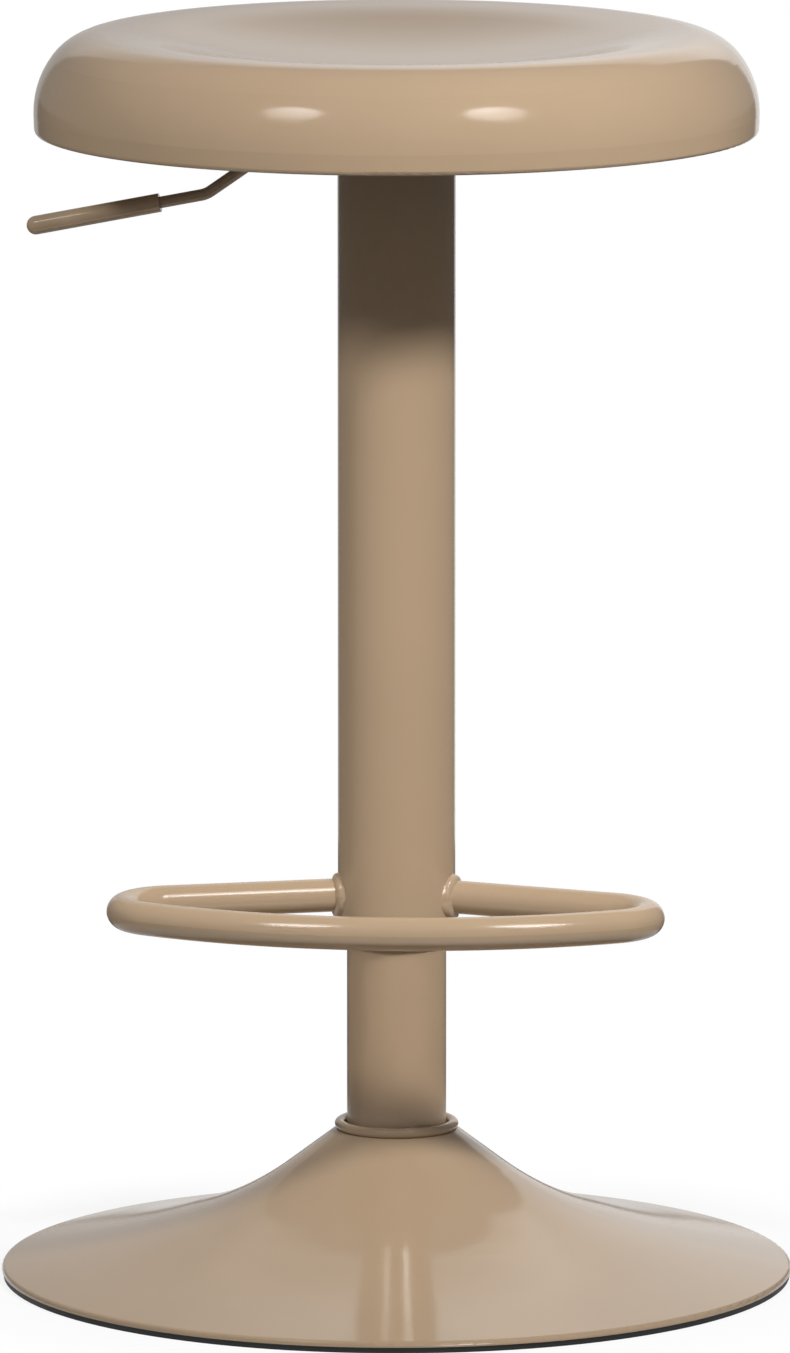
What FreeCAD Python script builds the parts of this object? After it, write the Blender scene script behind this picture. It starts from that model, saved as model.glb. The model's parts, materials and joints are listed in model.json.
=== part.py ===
import FreeCAD, Part

# Adjustable swivel stool: a dished sheet-steel seat on a gas spring, a sleeve that slides and
# turns on a fixed column, a D-shaped footrest welded to the sleeve, and a trumpet base.
#
# Millimetres, +Z up. The origin is on the floor, on the column axis. The footrest's front bar
# is towards -Y and the release lever points towards -X.
#
# What rises and turns with the seat is drawn at REST_ABOVE_LOWEST above its lowest place.

import math
import os

Vector = FreeCAD.Vector
UP = Vector(0, 0, 1)
ORIGIN = Vector(0, 0, 0)

# ---- Driving dimensions ---------------------------------------------------------------------

# Seat height is measured at the crest of the seat's edge.
LOWEST_SEAT_HEIGHT = 550.0
SEAT_TRAVEL = 210.0
REST_ABOVE_LOWEST = 90.0

# Clearances
FIT_GAP = 0.05           # radial, between pieces fixed to each other
RUNNING_GAP = 0.08       # radial, between a shaft or tube and its guide
MOVING_GAP = 0.3         # between faces that pass close to each other

# Seat
SEAT_DIAMETER = 368.0
SEAT_SHEET = 2.0
SEAT_ROLL_WIDTH = 34.0   # from the crest out to the side
SEAT_ROLL_HEIGHT = 40.2  # from the widest place up to the crest
SEAT_ROLL_RADIUS = 30.9  # at the crest; the side's radius follows
SEAT_SKIRT = 10.4        # from the widest place down to the lip
SEAT_SKIRT_TUCK = 0.3    # how far the lip draws in
SEAT_LIP_RADIUS = 2.4
SEAT_LIP_WIDTH = 7.0     # turned-in lip
DISH_DEPTH = 18.0
DISH_SHOULDER_RADIUS = 150.0   # inside the crest; the dish's own radius follows

# Seat plate and what fastens the seat to it
PLATE_SIDE = 160.0
PLATE_THICKNESS = 3.0
PLATE_CORNER = 14.0
PLATE_FLANGE = 8.0       # turned-down edges
BOLT_SPACING = 130.0
BOLT_DIAMETER = 8.0
BOLT_HEAD_FLATS = 13.0
BOLT_HEAD_HEIGHT = 5.3
BOLT_PROTRUSION = 1.5
BOLT_WASHER_DIAMETER = 16.0
BOLT_WASHER_THICKNESS = 1.6
WELD_NUT_HEIGHT = 6.5
NUT_HEAD_ROOM = 2.5      # under the dish
CUP_SHEET = 2.0
CUP_WALL_ANGLE = 62.0
CUP_FLANGE = 11.0
CUP_FIT_ROUNDS = 12      # each brings the wall's top nearer to the dish

# Lever mechanism
HOUSING_HEIGHT = 35.0
HOUSING_WALL = 2.0
LEVER_BELOW_PLATE = 10.7
LEVER_ROD_DIAMETER = 6.0
LEVER_PIVOT_OFFSET = 20.0
LEVER_REACH_INSIDE = 41.6   # from the column axis to where the rod turns down
LEVER_DROP_ANGLE = 35.0
LEVER_DROP = 38.8
LEVER_GRIP_ANGLE = 11.0
LEVER_BEND_RADIUS = 13.0
LEVER_GRIP_DIAMETER = 9.6
LEVER_GRIP_START = 120.7    # from the column axis
LEVER_TIP = 189.0           # from the column axis
LEVER_EYE_DIAMETER = 11.0
LEVER_EYE_WIDTH = 10.0
LEVER_TONGUE_WIDTH = 9.0
LEVER_TONGUE_OVERRUN = 5.0  # beyond the release pin's axis
LEVER_TONGUE_ROUNDING = 3.6
LEVER_LIFT_ANGLE = 8.0
LEVER_SLOT_SIDE_GAP = 0.9
PIVOT_PIN_DIAMETER = 4.0
PIVOT_PIN_HEAD = 1.2
PIVOT_PIN_HEAD_DIAMETER = 6.0
BRACKET_THICKNESS = 2.0
BRACKET_WIDTH = 11.0
BRACKET_EAR_BELOW_PIVOT = 5.0

# Taper socket
SOCKET_FLANGE = 3.0
SOCKET_WEB = 4.0
SOCKET_HUB_DIAMETER = 40.0
SOCKET_SKIRT_WALL = 4.0
SOCKET_DEPTH = 25.0         # hub, below the flange
SOCKET_SKIRT_DEPTH = 23.0
SCREW_DIAMETER = 5.0
SCREW_HEAD_DIAMETER = 9.0
SCREW_HEAD_HEIGHT = 2.4
SCREW_BELOW_FLANGE = 12.0
SCREW_ANGLES = (30.0, 90.0, 150.0)   # round the back, from +X

# Gas spring
CYLINDER_DIAMETER = 28.0
CYLINDER_WALL = 1.5
CYLINDER_END_WALL = 4.0
CYLINDER_ROLLED_EDGE = 1.0
TAPER_HALF_ANGLE = 1.436
VALVE_BODY_DIAMETER = 22.3
VALVE_BODY_LENGTH = 28.0
BUTTON_DIAMETER = 8.0
BUTTON_PROTRUSION = 4.0
BUTTON_DOME_RADIUS = 8.0
BUTTON_TRAVEL_ROOM = 3.6
STEM_DIAMETER = 5.0
STEM_LENGTH = 22.0
GLAND_LENGTH = 20.0
ROD_DIAMETER = 10.0
ROD_END_DIAMETER = 8.0
ROD_RIVET_HEIGHT = 2.0
PISTON_LENGTH = 14.0
PISTON_EDGE_GAP = 0.1
PISTON_GROOVE_WIDTH = 4.2
PISTON_GROOVE_DEPTH = 1.2
PISTON_MARGIN = 3.0         # above the gland at full height

# Sleeve and column
COLUMN_DIAMETER = 50.8
COLUMN_WALL = 1.5
GUIDE_THICKNESS = 3.1       # between the column and the sleeve
SLEEVE_WALL = 1.5
SLEEVE_ABOVE_COLLAR = 4.2   # at the lowest seat
COLUMN_HEAD_ROOM = 49.0     # under the socket's hub at the lowest seat
BUSH_LENGTH = 70.0
BUSH_FLANGE = 4.0
BUSH_WALL = 2.6
BUSH_RIBS = 6
BUSH_RIB_THICKNESS = 2.4
GLIDE_LENGTH = 20.0
GLIDE_FLANGE = 2.0
GLIDE_FLANGE_INSET = 0.4    # its edge, inside the sleeve's outer face

# Footrest
FOOTREST_TUBE = 17.0
FOOTREST_WALL = 1.5
FOOTREST_HALF_WIDTH = 133.5     # to the tube's centreline
FOOTREST_REACH = 116.6          # to the front centreline
FOOTREST_CORNER_RADIUS = 27.0
FOOTREST_ARM_ANGLE = 18.7       # the arms sweep forward
FOOTREST_ARM_ORIGIN = 3.5       # where they would meet, behind the axis
FOOTREST_ABOVE_SLEEVE_END = 20.5
WELD_SIZE = 3.0

# Base
BASE_DIAMETER = 405.0
BASE_SHEET = 2.0
BASE_RIM_HEIGHT = 2.54          # of the turned-down rim, up to its sharp corner
BASE_RIM_RADIUS = 2.2
BASE_NECK_HEIGHT = 75.6
BASE_NECK_EDGE = 1.2            # rounding of the neck's edge
# The trumpet's two bends between rim and neck. Each is a share of the radial run, a share of
# the rise, and the share of the straight between the bends that it takes up.
BASE_LOW_BEND = (0.33, 0.172, 0.36)
BASE_HIGH_BEND = (0.7135, 0.4705, 0.44)
RING_HEIGHT = 3.0               # rubber under the rim
RING_WIDTH = 11.0
RING_INSET = 0.7
COLLAR_SECTION = 5.3
COLLAR_GAP = 0.95               # to the column
COLLAR_FLAT = 0.25              # flat that the collar stands on

# Column foot and its fastening
INNER_PLATE_TOP = 40.0
INNER_PLATE_THICKNESS = 4.0
FOOT_PLUG_HEIGHT = 18.0
SPIGOT_DIAMETER = 30.0
SPIGOT_LENGTH = 26.0
SPIGOT_BORE_DIAMETER = 20.0
SPIGOT_BORE_DEPTH = 10.0
NUT_FLATS = 46.0
NUT_HEIGHT = 12.0
NUT_FACE_MARGIN = 0.5    # the round face reaches this far beyond the flats
SPRING_WASHER_THICKNESS = 4.0
SPRING_WASHER_WIDTH = 7.7
SPRING_WASHER_SPLIT = 3.0

# Swivel bearing on the foot
RACE_DIAMETER = 25.0
RACE_THICKNESS = 2.0
RACE_GROOVE_DEPTH = 0.4
BALL_DIAMETER = 4.5
BALL_COUNT = 9
BALL_PITCH_RADIUS = 8.7
CAGE_THICKNESS = 2.2
CAGE_BORE = 11.0
CAGE_DIAMETER = 24.0
BUFFER_HEIGHT = 6.0
BUFFER_DIAMETER = 24.0
SHOULDER_WASHER_THICKNESS = 2.0
END_WASHER_DIAMETER = 18.0
END_WASHER_THICKNESS = 2.0
CLIP_THICKNESS = 1.6
CLIP_DIAMETER = 15.0
CLIP_GROOVE_DIAMETER = 6.4
CLIP_OPENING = 5.0
ROD_END_BELOW_CLIP = 3.3
CYLINDER_STOP_GAP = 4.2         # over the rod's shoulder at the lowest seat

# ---- Heights and radii that follow ----------------------------------------------------------

SEAT_RADIUS = SEAT_DIAMETER / 2
CREST_RADIUS = SEAT_RADIUS - SEAT_ROLL_WIDTH
CREST_Z = LOWEST_SEAT_HEIGHT + REST_ABOVE_LOWEST
SEAT_WIDEST_Z = CREST_Z - SEAT_ROLL_HEIGHT
SEAT_LIP_Z = SEAT_WIDEST_Z - SEAT_SKIRT
DISH_Z = CREST_Z - DISH_DEPTH
CUP_TOP = DISH_Z - SEAT_SHEET - NUT_HEAD_ROOM - WELD_NUT_HEIGHT
PLATE_TOP = CUP_TOP - CUP_SHEET
PLATE_BOTTOM = PLATE_TOP - PLATE_THICKNESS
BOLT_PLACES = [(x * BOLT_SPACING / 2, y * BOLT_SPACING / 2) for x in (-1, 1) for y in (-1, 1)]

COLUMN_RADIUS = COLUMN_DIAMETER / 2
COLUMN_BORE = COLUMN_RADIUS - COLUMN_WALL
SLEEVE_BORE = COLUMN_RADIUS + GUIDE_THICKNESS
SLEEVE_RADIUS = SLEEVE_BORE + SLEEVE_WALL
HOUSING_BOTTOM = PLATE_BOTTOM - HOUSING_HEIGHT
SLEEVE_TOP = HOUSING_BOTTOM - SOCKET_FLANGE
HUB_BOTTOM = SLEEVE_TOP - SOCKET_DEPTH

LEVER_Z = PLATE_BOTTOM - LEVER_BELOW_PLATE
TONGUE_HALF = LEVER_ROD_DIAMETER / 2
BUTTON_TOP = LEVER_Z - TONGUE_HALF - MOVING_GAP
CYLINDER_TOP = BUTTON_TOP - BUTTON_PROTRUSION
CYLINDER_RADIUS = CYLINDER_DIAMETER / 2
CYLINDER_BORE = CYLINDER_RADIUS - CYLINDER_WALL
VALVE_TOP = CYLINDER_TOP - CYLINDER_END_WALL

PLATE_HOLE_RADIUS = SPIGOT_DIAMETER / 2 + MOVING_GAP
FOOT_TOP = INNER_PLATE_TOP + FOOT_PLUG_HEIGHT
SPIGOT_BOTTOM = INNER_PLATE_TOP - SPIGOT_LENGTH
SPIGOT_WEB = SPIGOT_BOTTOM + SPIGOT_BORE_DEPTH
BALL_RADIUS = BALL_DIAMETER / 2
BALL_Z = FOOT_TOP + RACE_THICKNESS - RACE_GROOVE_DEPTH + FIT_GAP + BALL_RADIUS
UPPER_RACE_BOTTOM = BALL_Z + BALL_RADIUS + FIT_GAP - RACE_GROOVE_DEPTH
UPPER_RACE_TOP = UPPER_RACE_BOTTOM + RACE_THICKNESS
BUFFER_TOP = UPPER_RACE_TOP + BUFFER_HEIGHT
ROD_SHOULDER = BUFFER_TOP + SHOULDER_WASHER_THICKNESS
END_WASHER_TOP = SPIGOT_WEB - MOVING_GAP
CLIP_TOP = END_WASHER_TOP - END_WASHER_THICKNESS
ROD_BOTTOM = CLIP_TOP - CLIP_THICKNESS - ROD_END_BELOW_CLIP

BASE_RADIUS = BASE_DIAMETER / 2
COLLAR_RADIUS = COLUMN_RADIUS + COLLAR_GAP + COLLAR_SECTION / 2
COLLAR_TOP = BASE_NECK_HEIGHT - COLLAR_FLAT + COLLAR_SECTION
NECK_RADIUS = COLLAR_RADIUS + COLLAR_SECTION / 2 - MOVING_GAP

GLIDE_BOTTOM = COLLAR_TOP + SLEEVE_ABOVE_COLLAR + REST_ABOVE_LOWEST
SLEEVE_BOTTOM = GLIDE_BOTTOM + GLIDE_FLANGE
COLUMN_TOP = HUB_BOTTOM - REST_ABOVE_LOWEST - COLUMN_HEAD_ROOM - BUSH_FLANGE
CYLINDER_BOTTOM = ROD_SHOULDER + CYLINDER_STOP_GAP + REST_ABOVE_LOWEST
GLAND_BOTTOM = CYLINDER_BOTTOM + CYLINDER_ROLLED_EDGE
RISE_LEFT = SEAT_TRAVEL - REST_ABOVE_LOWEST
PISTON_BOTTOM = GLAND_BOTTOM + GLAND_LENGTH + RISE_LEFT + PISTON_MARGIN
PISTON_TOP = PISTON_BOTTOM + PISTON_LENGTH
FOOTREST_Z = SLEEVE_BOTTOM + FOOTREST_ABOVE_SLEEVE_END


# ---- Helpers --------------------------------------------------------------------------------

def at(radius, z):
    """A point of a turned section, in the XZ plane."""
    return Vector(radius, 0, z)


def polar(radius, degrees, z=0.0):
    """A point round the column axis."""
    angle = math.radians(degrees)
    return Vector(radius * math.cos(angle), radius * math.sin(angle), z)


def spin(face):
    """Turn a section of the XZ plane once round the Z axis."""
    return face.revolve(ORIGIN, UP, 360)


def turned(points):
    """A solid turned from a closed outline of (radius, z) points."""
    corners = [at(r, z) for r, z in points]
    return spin(Part.Face(Part.makePolygon(corners + corners[:1])))


def tube(bore, radius, bottom, top):
    """A plain ring, washer or tube about the Z axis."""
    return turned([(bore, bottom), (radius, bottom), (radius, top), (bore, top)])


def disc(radius, bottom, top, x=0.0, y=0.0):
    """A plain cylinder, upright."""
    return Part.makeCylinder(radius, top - bottom, Vector(x, y, bottom))


def rod_between(start, end, radius):
    """A straight round bar."""
    run = end - start
    return Part.makeCylinder(radius, run.Length, start, run)


def block(x_range, y_range, z_range):
    """A box from its limits along each axis."""
    low = Vector(x_range[0], y_range[0], z_range[0])
    return Part.makeBox(x_range[1] - x_range[0], y_range[1] - y_range[0], z_range[1] - z_range[0], low)


def hexagon(flats, bottom, top, x=0.0, y=0.0):
    """A hexagonal prism, upright."""
    corner = flats / math.sqrt(3)
    points = [Vector(x, y, bottom) + polar(corner, 60 * i) for i in range(7)]
    return Part.Face(Part.makePolygon(points)).extrude(UP * (top - bottom))


def arc_edge(centre, radius, start_degrees, end_degrees):
    """An arc of the XZ plane, angles from +X towards +Z."""
    middle = (start_degrees + end_degrees) / 2
    ends = []
    for degrees in (start_degrees, middle, end_degrees):
        angle = math.radians(degrees)
        ends.append(centre + at(radius * math.cos(angle), radius * math.sin(angle)))
    return Part.Arc(*ends).toShape()


def direction(degrees):
    """A unit direction of the XZ plane, from +X towards +Z."""
    angle = math.radians(degrees)
    return at(math.cos(angle), math.sin(angle))


def offset_outline(outline, distance):
    """An open outline moved sideways."""
    return outline.makeOffset2D(distance, fill=False, openResult=True)


def joined(edges):
    """One wire from edges in any order."""
    return Part.Wire(Part.sortEdges(edges)[0])


def sheet_section(outline, thickness):
    """The section of bent sheet: what lies between an open outline and its offset."""
    inside = offset_outline(outline, thickness)
    starts = [wire.OrderedVertexes[0].Point for wire in (outline, inside)]
    ends = [wire.OrderedVertexes[-1].Point for wire in (outline, inside)]
    closing = [Part.makeLine(*starts), Part.makeLine(*ends)]
    return Part.Face(joined(outline.Edges + inside.Edges + closing))


def height_at(outline, radius):
    """The highest point of an outline at a radius."""
    probe = Part.makeLine(at(radius, -10), at(radius, 2 * CREST_Z))
    return max(vertex.Z for vertex in outline.section(probe).Vertexes)


def radius_at(outline, z):
    """The largest radius of an outline at a height."""
    probe = Part.makeLine(at(0, z), at(SEAT_DIAMETER + BASE_DIAMETER, z))
    return max(vertex.X for vertex in outline.section(probe).Vertexes)


def bend_radius(before, corner, after, tangent):
    """Radius of the arc that starts and ends one tangent length from a corner."""
    return tangent * math.tan((before - corner).getAngle(after - corner) / 2)


def rounded_path(points, radii):
    """Straight runs through points, joined by one tangent arc at each corner."""
    edges = []
    start = points[0]
    for before, corner, after, radius in zip(points, points[1:], points[2:], radii):
        back = (before - corner).normalize()
        forth = (after - corner).normalize()
        half = back.getAngle(forth) / 2
        trim = radius / math.tan(half)
        bisector = (back + forth).normalize()
        centre = corner + bisector * (radius / math.sin(half))
        middle = centre - bisector * radius
        arc_start = corner + back * trim
        arc_end = corner + forth * trim
        edges.append(Part.makeLine(start, arc_start))
        edges.append(Part.Arc(arc_start, middle, arc_end).toShape())
        start = arc_end
    edges.append(Part.makeLine(start, points[-1]))
    return Part.Wire(edges)


def pipe(path, radius):
    """A round bar along a path that starts straight."""
    first = path.OrderedEdges[0]
    start = first.valueAt(first.FirstParameter)
    run = first.tangentAt(first.FirstParameter)
    circle = Part.Wire(Part.makeCircle(radius, start, run))
    return path.makePipeShell([circle], True, False)


# ---- Seat -----------------------------------------------------------------------------------

def dish_edges():
    """The dish: a hollow sphere that turns over a rounded shoulder into the crest."""
    both = (CREST_RADIUS ** 2 + DISH_DEPTH ** 2) / (2 * DISH_DEPTH)
    hollow_radius = both - DISH_SHOULDER_RADIUS
    hollow = at(0, DISH_Z + hollow_radius)
    shoulder = at(CREST_RADIUS, CREST_Z - DISH_SHOULDER_RADIUS)
    slope = math.degrees(math.atan2(shoulder.z - hollow.z, shoulder.x - hollow.x))
    return [arc_edge(hollow, hollow_radius, -90, slope),
            arc_edge(shoulder, DISH_SHOULDER_RADIUS, slope + 180, 90)]


def roll_edges():
    """From the crest out and down to the side: an oval's quarter, of two tangent arcs."""
    width, height, radius = SEAT_ROLL_WIDTH, SEAT_ROLL_HEIGHT, SEAT_ROLL_RADIUS
    side_radius = (width ** 2 + height ** 2 - 2 * height * radius) / (2 * (width - radius))
    upper = at(CREST_RADIUS, CREST_Z - radius)
    lower = at(SEAT_RADIUS - side_radius, SEAT_WIDEST_Z)
    meeting = math.degrees(math.atan2(upper.z - lower.z, upper.x - lower.x))
    return [arc_edge(upper, radius, 90, meeting), arc_edge(lower, side_radius, meeting, 0)]


def seat_outline():
    """The seat's outer face, from the dish's middle over the crest to the turned-in lip."""
    drop = SEAT_SKIRT - SEAT_LIP_RADIUS
    skirt_radius = SEAT_LIP_RADIUS + (SEAT_SKIRT_TUCK ** 2 + drop ** 2) / (2 * SEAT_SKIRT_TUCK)
    skirt_centre = at(SEAT_RADIUS - skirt_radius, SEAT_WIDEST_Z)
    lip_centre = at(SEAT_RADIUS - SEAT_SKIRT_TUCK - SEAT_LIP_RADIUS, SEAT_LIP_Z + SEAT_LIP_RADIUS)
    turn = math.degrees(math.atan2(drop, lip_centre.x - skirt_centre.x))
    skirt = arc_edge(skirt_centre, skirt_radius, 0, -turn)
    bend = arc_edge(lip_centre, SEAT_LIP_RADIUS, -turn, -90)
    bend_end = lip_centre + direction(-90) * SEAT_LIP_RADIUS
    lip = Part.makeLine(bend_end, bend_end - at(SEAT_LIP_WIDTH - SEAT_LIP_RADIUS, 0))
    return joined(dish_edges() + roll_edges() + [skirt, bend, lip])


def seat_shell(outline):
    return spin(sheet_section(outline, -SEAT_SHEET))


def seat_reinforcement(outline):
    """A pressed cup under the dish: a flat floor for the bolts and a flange along the dish."""
    floor_radius = math.hypot(*BOLT_PLACES[0]) + BOLT_HEAD_FLATS
    track = offset_outline(outline, -(SEAT_SHEET + FIT_GAP + CUP_SHEET))
    slope = math.tan(math.radians(CUP_WALL_ANGLE))
    wall_run = 0.0
    for _ in range(CUP_FIT_ROUNDS):
        wall_run = (height_at(track, floor_radius + wall_run) - PLATE_TOP) / slope
    wall_top = floor_radius + wall_run
    window = block((wall_top, wall_top + CUP_FLANGE), (-1, 1), (PLATE_TOP, CREST_Z))
    flange = track.common(window).Edges
    floor = Part.makeLine(at(0, PLATE_TOP), at(floor_radius, PLATE_TOP))
    wall = Part.makeLine(at(floor_radius, PLATE_TOP), at(wall_top, height_at(track, wall_top)))
    section = sheet_section(joined([floor, wall] + flange), CUP_SHEET)
    holes = [disc(BOLT_DIAMETER / 2 + MOVING_GAP, PLATE_BOTTOM, DISH_Z, x, y) for x, y in BOLT_PLACES]
    return spin(section).cut(holes)


def weld_nuts():
    nuts = []
    for x, y in BOLT_PLACES:
        nut = hexagon(BOLT_HEAD_FLATS, CUP_TOP, CUP_TOP + WELD_NUT_HEIGHT, x, y)
        nuts.append(nut.cut(disc(BOLT_DIAMETER / 2, PLATE_TOP, DISH_Z, x, y)))
    return nuts


def seat_bolts():
    bolts = []
    head_top = PLATE_BOTTOM - BOLT_WASHER_THICKNESS
    end = CUP_TOP + WELD_NUT_HEIGHT + BOLT_PROTRUSION
    for x, y in BOLT_PLACES:
        head = hexagon(BOLT_HEAD_FLATS, head_top - BOLT_HEAD_HEIGHT, head_top, x, y)
        bolts.append(head.fuse(disc(BOLT_DIAMETER / 2 - FIT_GAP, head_top, end, x, y)))
    return bolts


def seat_washers():
    washers = []
    bottom = PLATE_BOTTOM - BOLT_WASHER_THICKNESS
    for x, y in BOLT_PLACES:
        washer = disc(BOLT_WASHER_DIAMETER / 2, bottom, PLATE_BOTTOM, x, y)
        washers.append(washer.cut(disc(BOLT_DIAMETER / 2 + MOVING_GAP, bottom, PLATE_BOTTOM, x, y)))
    return washers


def seat_plate():
    """A stamped square plate; two edges are turned down, and the bolt holes are slots."""
    half = PLATE_SIDE / 2
    plate = block((-half, half), (-half, half), (PLATE_BOTTOM, PLATE_TOP))
    corners = [edge for edge in plate.Edges if edge.BoundBox.ZLength > PLATE_THICKNESS / 2]
    plate = plate.makeFillet(PLATE_CORNER, corners)
    straight = half - PLATE_CORNER
    for side in (-1, 1):
        inner, outer = sorted((side * (half - PLATE_THICKNESS), side * half))
        flange = block((-straight, straight), (inner, outer), (PLATE_BOTTOM - PLATE_FLANGE, PLATE_TOP))
        plate = plate.fuse(flange)
    reach = BOLT_DIAMETER / 2 + MOVING_GAP
    cuts = []
    for x, y in BOLT_PLACES:
        cuts.append(disc(reach, PLATE_BOTTOM - 1, PLATE_TOP + 1, x - reach / 2, y))
        cuts.append(disc(reach, PLATE_BOTTOM - 1, PLATE_TOP + 1, x + reach / 2, y))
        cuts.append(block((x - reach / 2, x + reach / 2), (y - reach, y + reach),
                          (PLATE_BOTTOM - 1, PLATE_TOP + 1)))
    return plate.cut(cuts).removeSplitter()


# ---- Lever mechanism ------------------------------------------------------------------------

def mechanism_housing():
    """A round cover welded under the seat plate, slotted where the lever leaves it."""
    cover = tube(SLEEVE_RADIUS - HOUSING_WALL, SLEEVE_RADIUS, HOUSING_BOTTOM, PLATE_BOTTOM)
    play = (SLEEVE_RADIUS - LEVER_PIVOT_OFFSET) * math.sin(math.radians(LEVER_LIFT_ANGLE))
    reach = LEVER_ROD_DIAMETER / 2 + MOVING_GAP
    half = LEVER_ROD_DIAMETER / 2 + LEVER_SLOT_SIDE_GAP
    slot = block((-SLEEVE_RADIUS - 1, 0), (-half, half), (LEVER_Z - reach, LEVER_Z + reach + play))
    return cover.cut(slot)


def lever_bracket():
    """A clevis under the seat plate, with an ear on each side of the lever's eye."""
    inside = LEVER_EYE_WIDTH / 2 + MOVING_GAP
    outside = inside + BRACKET_THICKNESS
    x_range = (-LEVER_PIVOT_OFFSET - BRACKET_WIDTH / 2, -LEVER_PIVOT_OFFSET + BRACKET_WIDTH / 2)
    ear_bottom = LEVER_Z - BRACKET_EAR_BELOW_PIVOT
    body = block(x_range, (-outside, outside), (ear_bottom, PLATE_BOTTOM))
    gap = block((x_range[0] - 1, x_range[1] + 1), (-inside, inside),
                (ear_bottom - 1, PLATE_BOTTOM - BRACKET_THICKNESS))
    pin_hole = Part.makeCylinder(PIVOT_PIN_DIAMETER / 2 + FIT_GAP, 2 * outside + 2,
                                 Vector(-LEVER_PIVOT_OFFSET, -outside - 1, LEVER_Z), Vector(0, 1, 0))
    return body.cut([gap, pin_hole])


def lever_pivot_pin():
    outside = LEVER_EYE_WIDTH / 2 + MOVING_GAP + BRACKET_THICKNESS
    start = Vector(-LEVER_PIVOT_OFFSET, -outside, LEVER_Z)
    shank = rod_between(start, start + Vector(0, 2 * outside, 0), PIVOT_PIN_DIAMETER / 2)
    heads = []
    for y, sense in ((-outside, -1), (outside, 1)):
        foot = Vector(-LEVER_PIVOT_OFFSET, y, LEVER_Z)
        tip = foot + Vector(0, sense * PIVOT_PIN_HEAD, 0)
        heads.append(rod_between(foot, tip, PIVOT_PIN_HEAD_DIAMETER / 2))
    return shank.fuse(heads).removeSplitter()


def lever_points():
    """The lever rod's centreline: level inside, then down, then out along the grip."""
    drop_run = LEVER_DROP / math.tan(math.radians(LEVER_DROP_ANGLE))
    knee = at(-LEVER_REACH_INSIDE, LEVER_Z)
    elbow = knee + at(-drop_run, -LEVER_DROP)
    slope = math.tan(math.radians(LEVER_GRIP_ANGLE))
    along = [elbow + at(-(x + elbow.x), -(x + elbow.x) * slope)
             for x in (LEVER_GRIP_START, LEVER_TIP - LEVER_GRIP_DIAMETER / 2)]
    return [at(-LEVER_PIVOT_OFFSET, LEVER_Z), knee, elbow] + along


def lever_rod():
    """A bent rod with a forged eye on the pivot pin and a flat tongue over the button."""
    points = lever_points()
    path = rounded_path(points[:3] + points[4:], [LEVER_BEND_RADIUS, LEVER_BEND_RADIUS])
    rod = pipe(path, LEVER_ROD_DIAMETER / 2)
    half_eye = LEVER_EYE_WIDTH / 2
    eye_start = Vector(-LEVER_PIVOT_OFFSET, -half_eye, LEVER_Z)
    eye = rod_between(eye_start, eye_start + Vector(0, LEVER_EYE_WIDTH, 0), LEVER_EYE_DIAMETER / 2)
    half_tongue = LEVER_TONGUE_WIDTH / 2
    tongue = block((-LEVER_PIVOT_OFFSET, LEVER_TONGUE_OVERRUN), (-half_tongue, half_tongue),
                   (LEVER_Z - TONGUE_HALF, LEVER_Z + TONGUE_HALF))
    tip_edges = [edge for edge in tongue.Edges
                 if edge.BoundBox.XMin > 0 and edge.BoundBox.ZLength > TONGUE_HALF]
    tongue = tongue.makeFillet(LEVER_TONGUE_ROUNDING, tip_edges)
    bore = rod_between(eye_start - Vector(0, 1, 0), eye_start + Vector(0, LEVER_EYE_WIDTH + 1, 0),
                       PIVOT_PIN_DIAMETER / 2 + FIT_GAP)
    return rod.fuse([eye, tongue]).cut(bore).removeSplitter()


def lever_grip():
    """A round sleeve on the rod's outer end, closed by a rounded tip."""
    points = lever_points()
    start, end = points[3:]
    run = (end - start).normalize()
    radius = LEVER_GRIP_DIAMETER / 2
    body = rod_between(start, end, radius).fuse(Part.makeSphere(radius, end))
    bore = rod_between(start - run, end, LEVER_ROD_DIAMETER / 2 + FIT_GAP)
    return body.cut(bore).removeSplitter()


# ---- Taper socket ---------------------------------------------------------------------------

def taper_radius(z):
    """Radius of the gas cylinder's taper at a height."""
    return CYLINDER_RADIUS - (z - HUB_BOTTOM) * math.tan(math.radians(TAPER_HALF_ANGLE))


def screw_axis_points(degrees, z, *radii):
    return [polar(radius, degrees, z) for radius in radii]


def taper_socket():
    """A hub bored for the taper, a flange on the sleeve's end, a skirt inside the sleeve."""
    hub_radius = SOCKET_HUB_DIAMETER / 2
    skirt_radius = SLEEVE_BORE - FIT_GAP
    hub = turned([(taper_radius(HUB_BOTTOM) + FIT_GAP, HUB_BOTTOM), (hub_radius, HUB_BOTTOM),
                  (hub_radius, CYLINDER_TOP), (taper_radius(CYLINDER_TOP) + FIT_GAP, CYLINDER_TOP)])
    flange = tube(hub_radius, SLEEVE_RADIUS, SLEEVE_TOP, HOUSING_BOTTOM)
    web = tube(hub_radius, skirt_radius, SLEEVE_TOP - SOCKET_WEB, SLEEVE_TOP)
    skirt = tube(skirt_radius - SOCKET_SKIRT_WALL, skirt_radius,
                 SLEEVE_TOP - SOCKET_SKIRT_DEPTH, SLEEVE_TOP - SOCKET_WEB)
    z = SLEEVE_TOP - SCREW_BELOW_FLANGE
    holes = [rod_between(*screw_axis_points(angle, z, hub_radius + 1, SLEEVE_RADIUS), SCREW_DIAMETER / 2)
             for angle in SCREW_ANGLES]
    return hub.fuse([flange, web, skirt]).removeSplitter().cut(holes)


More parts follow.
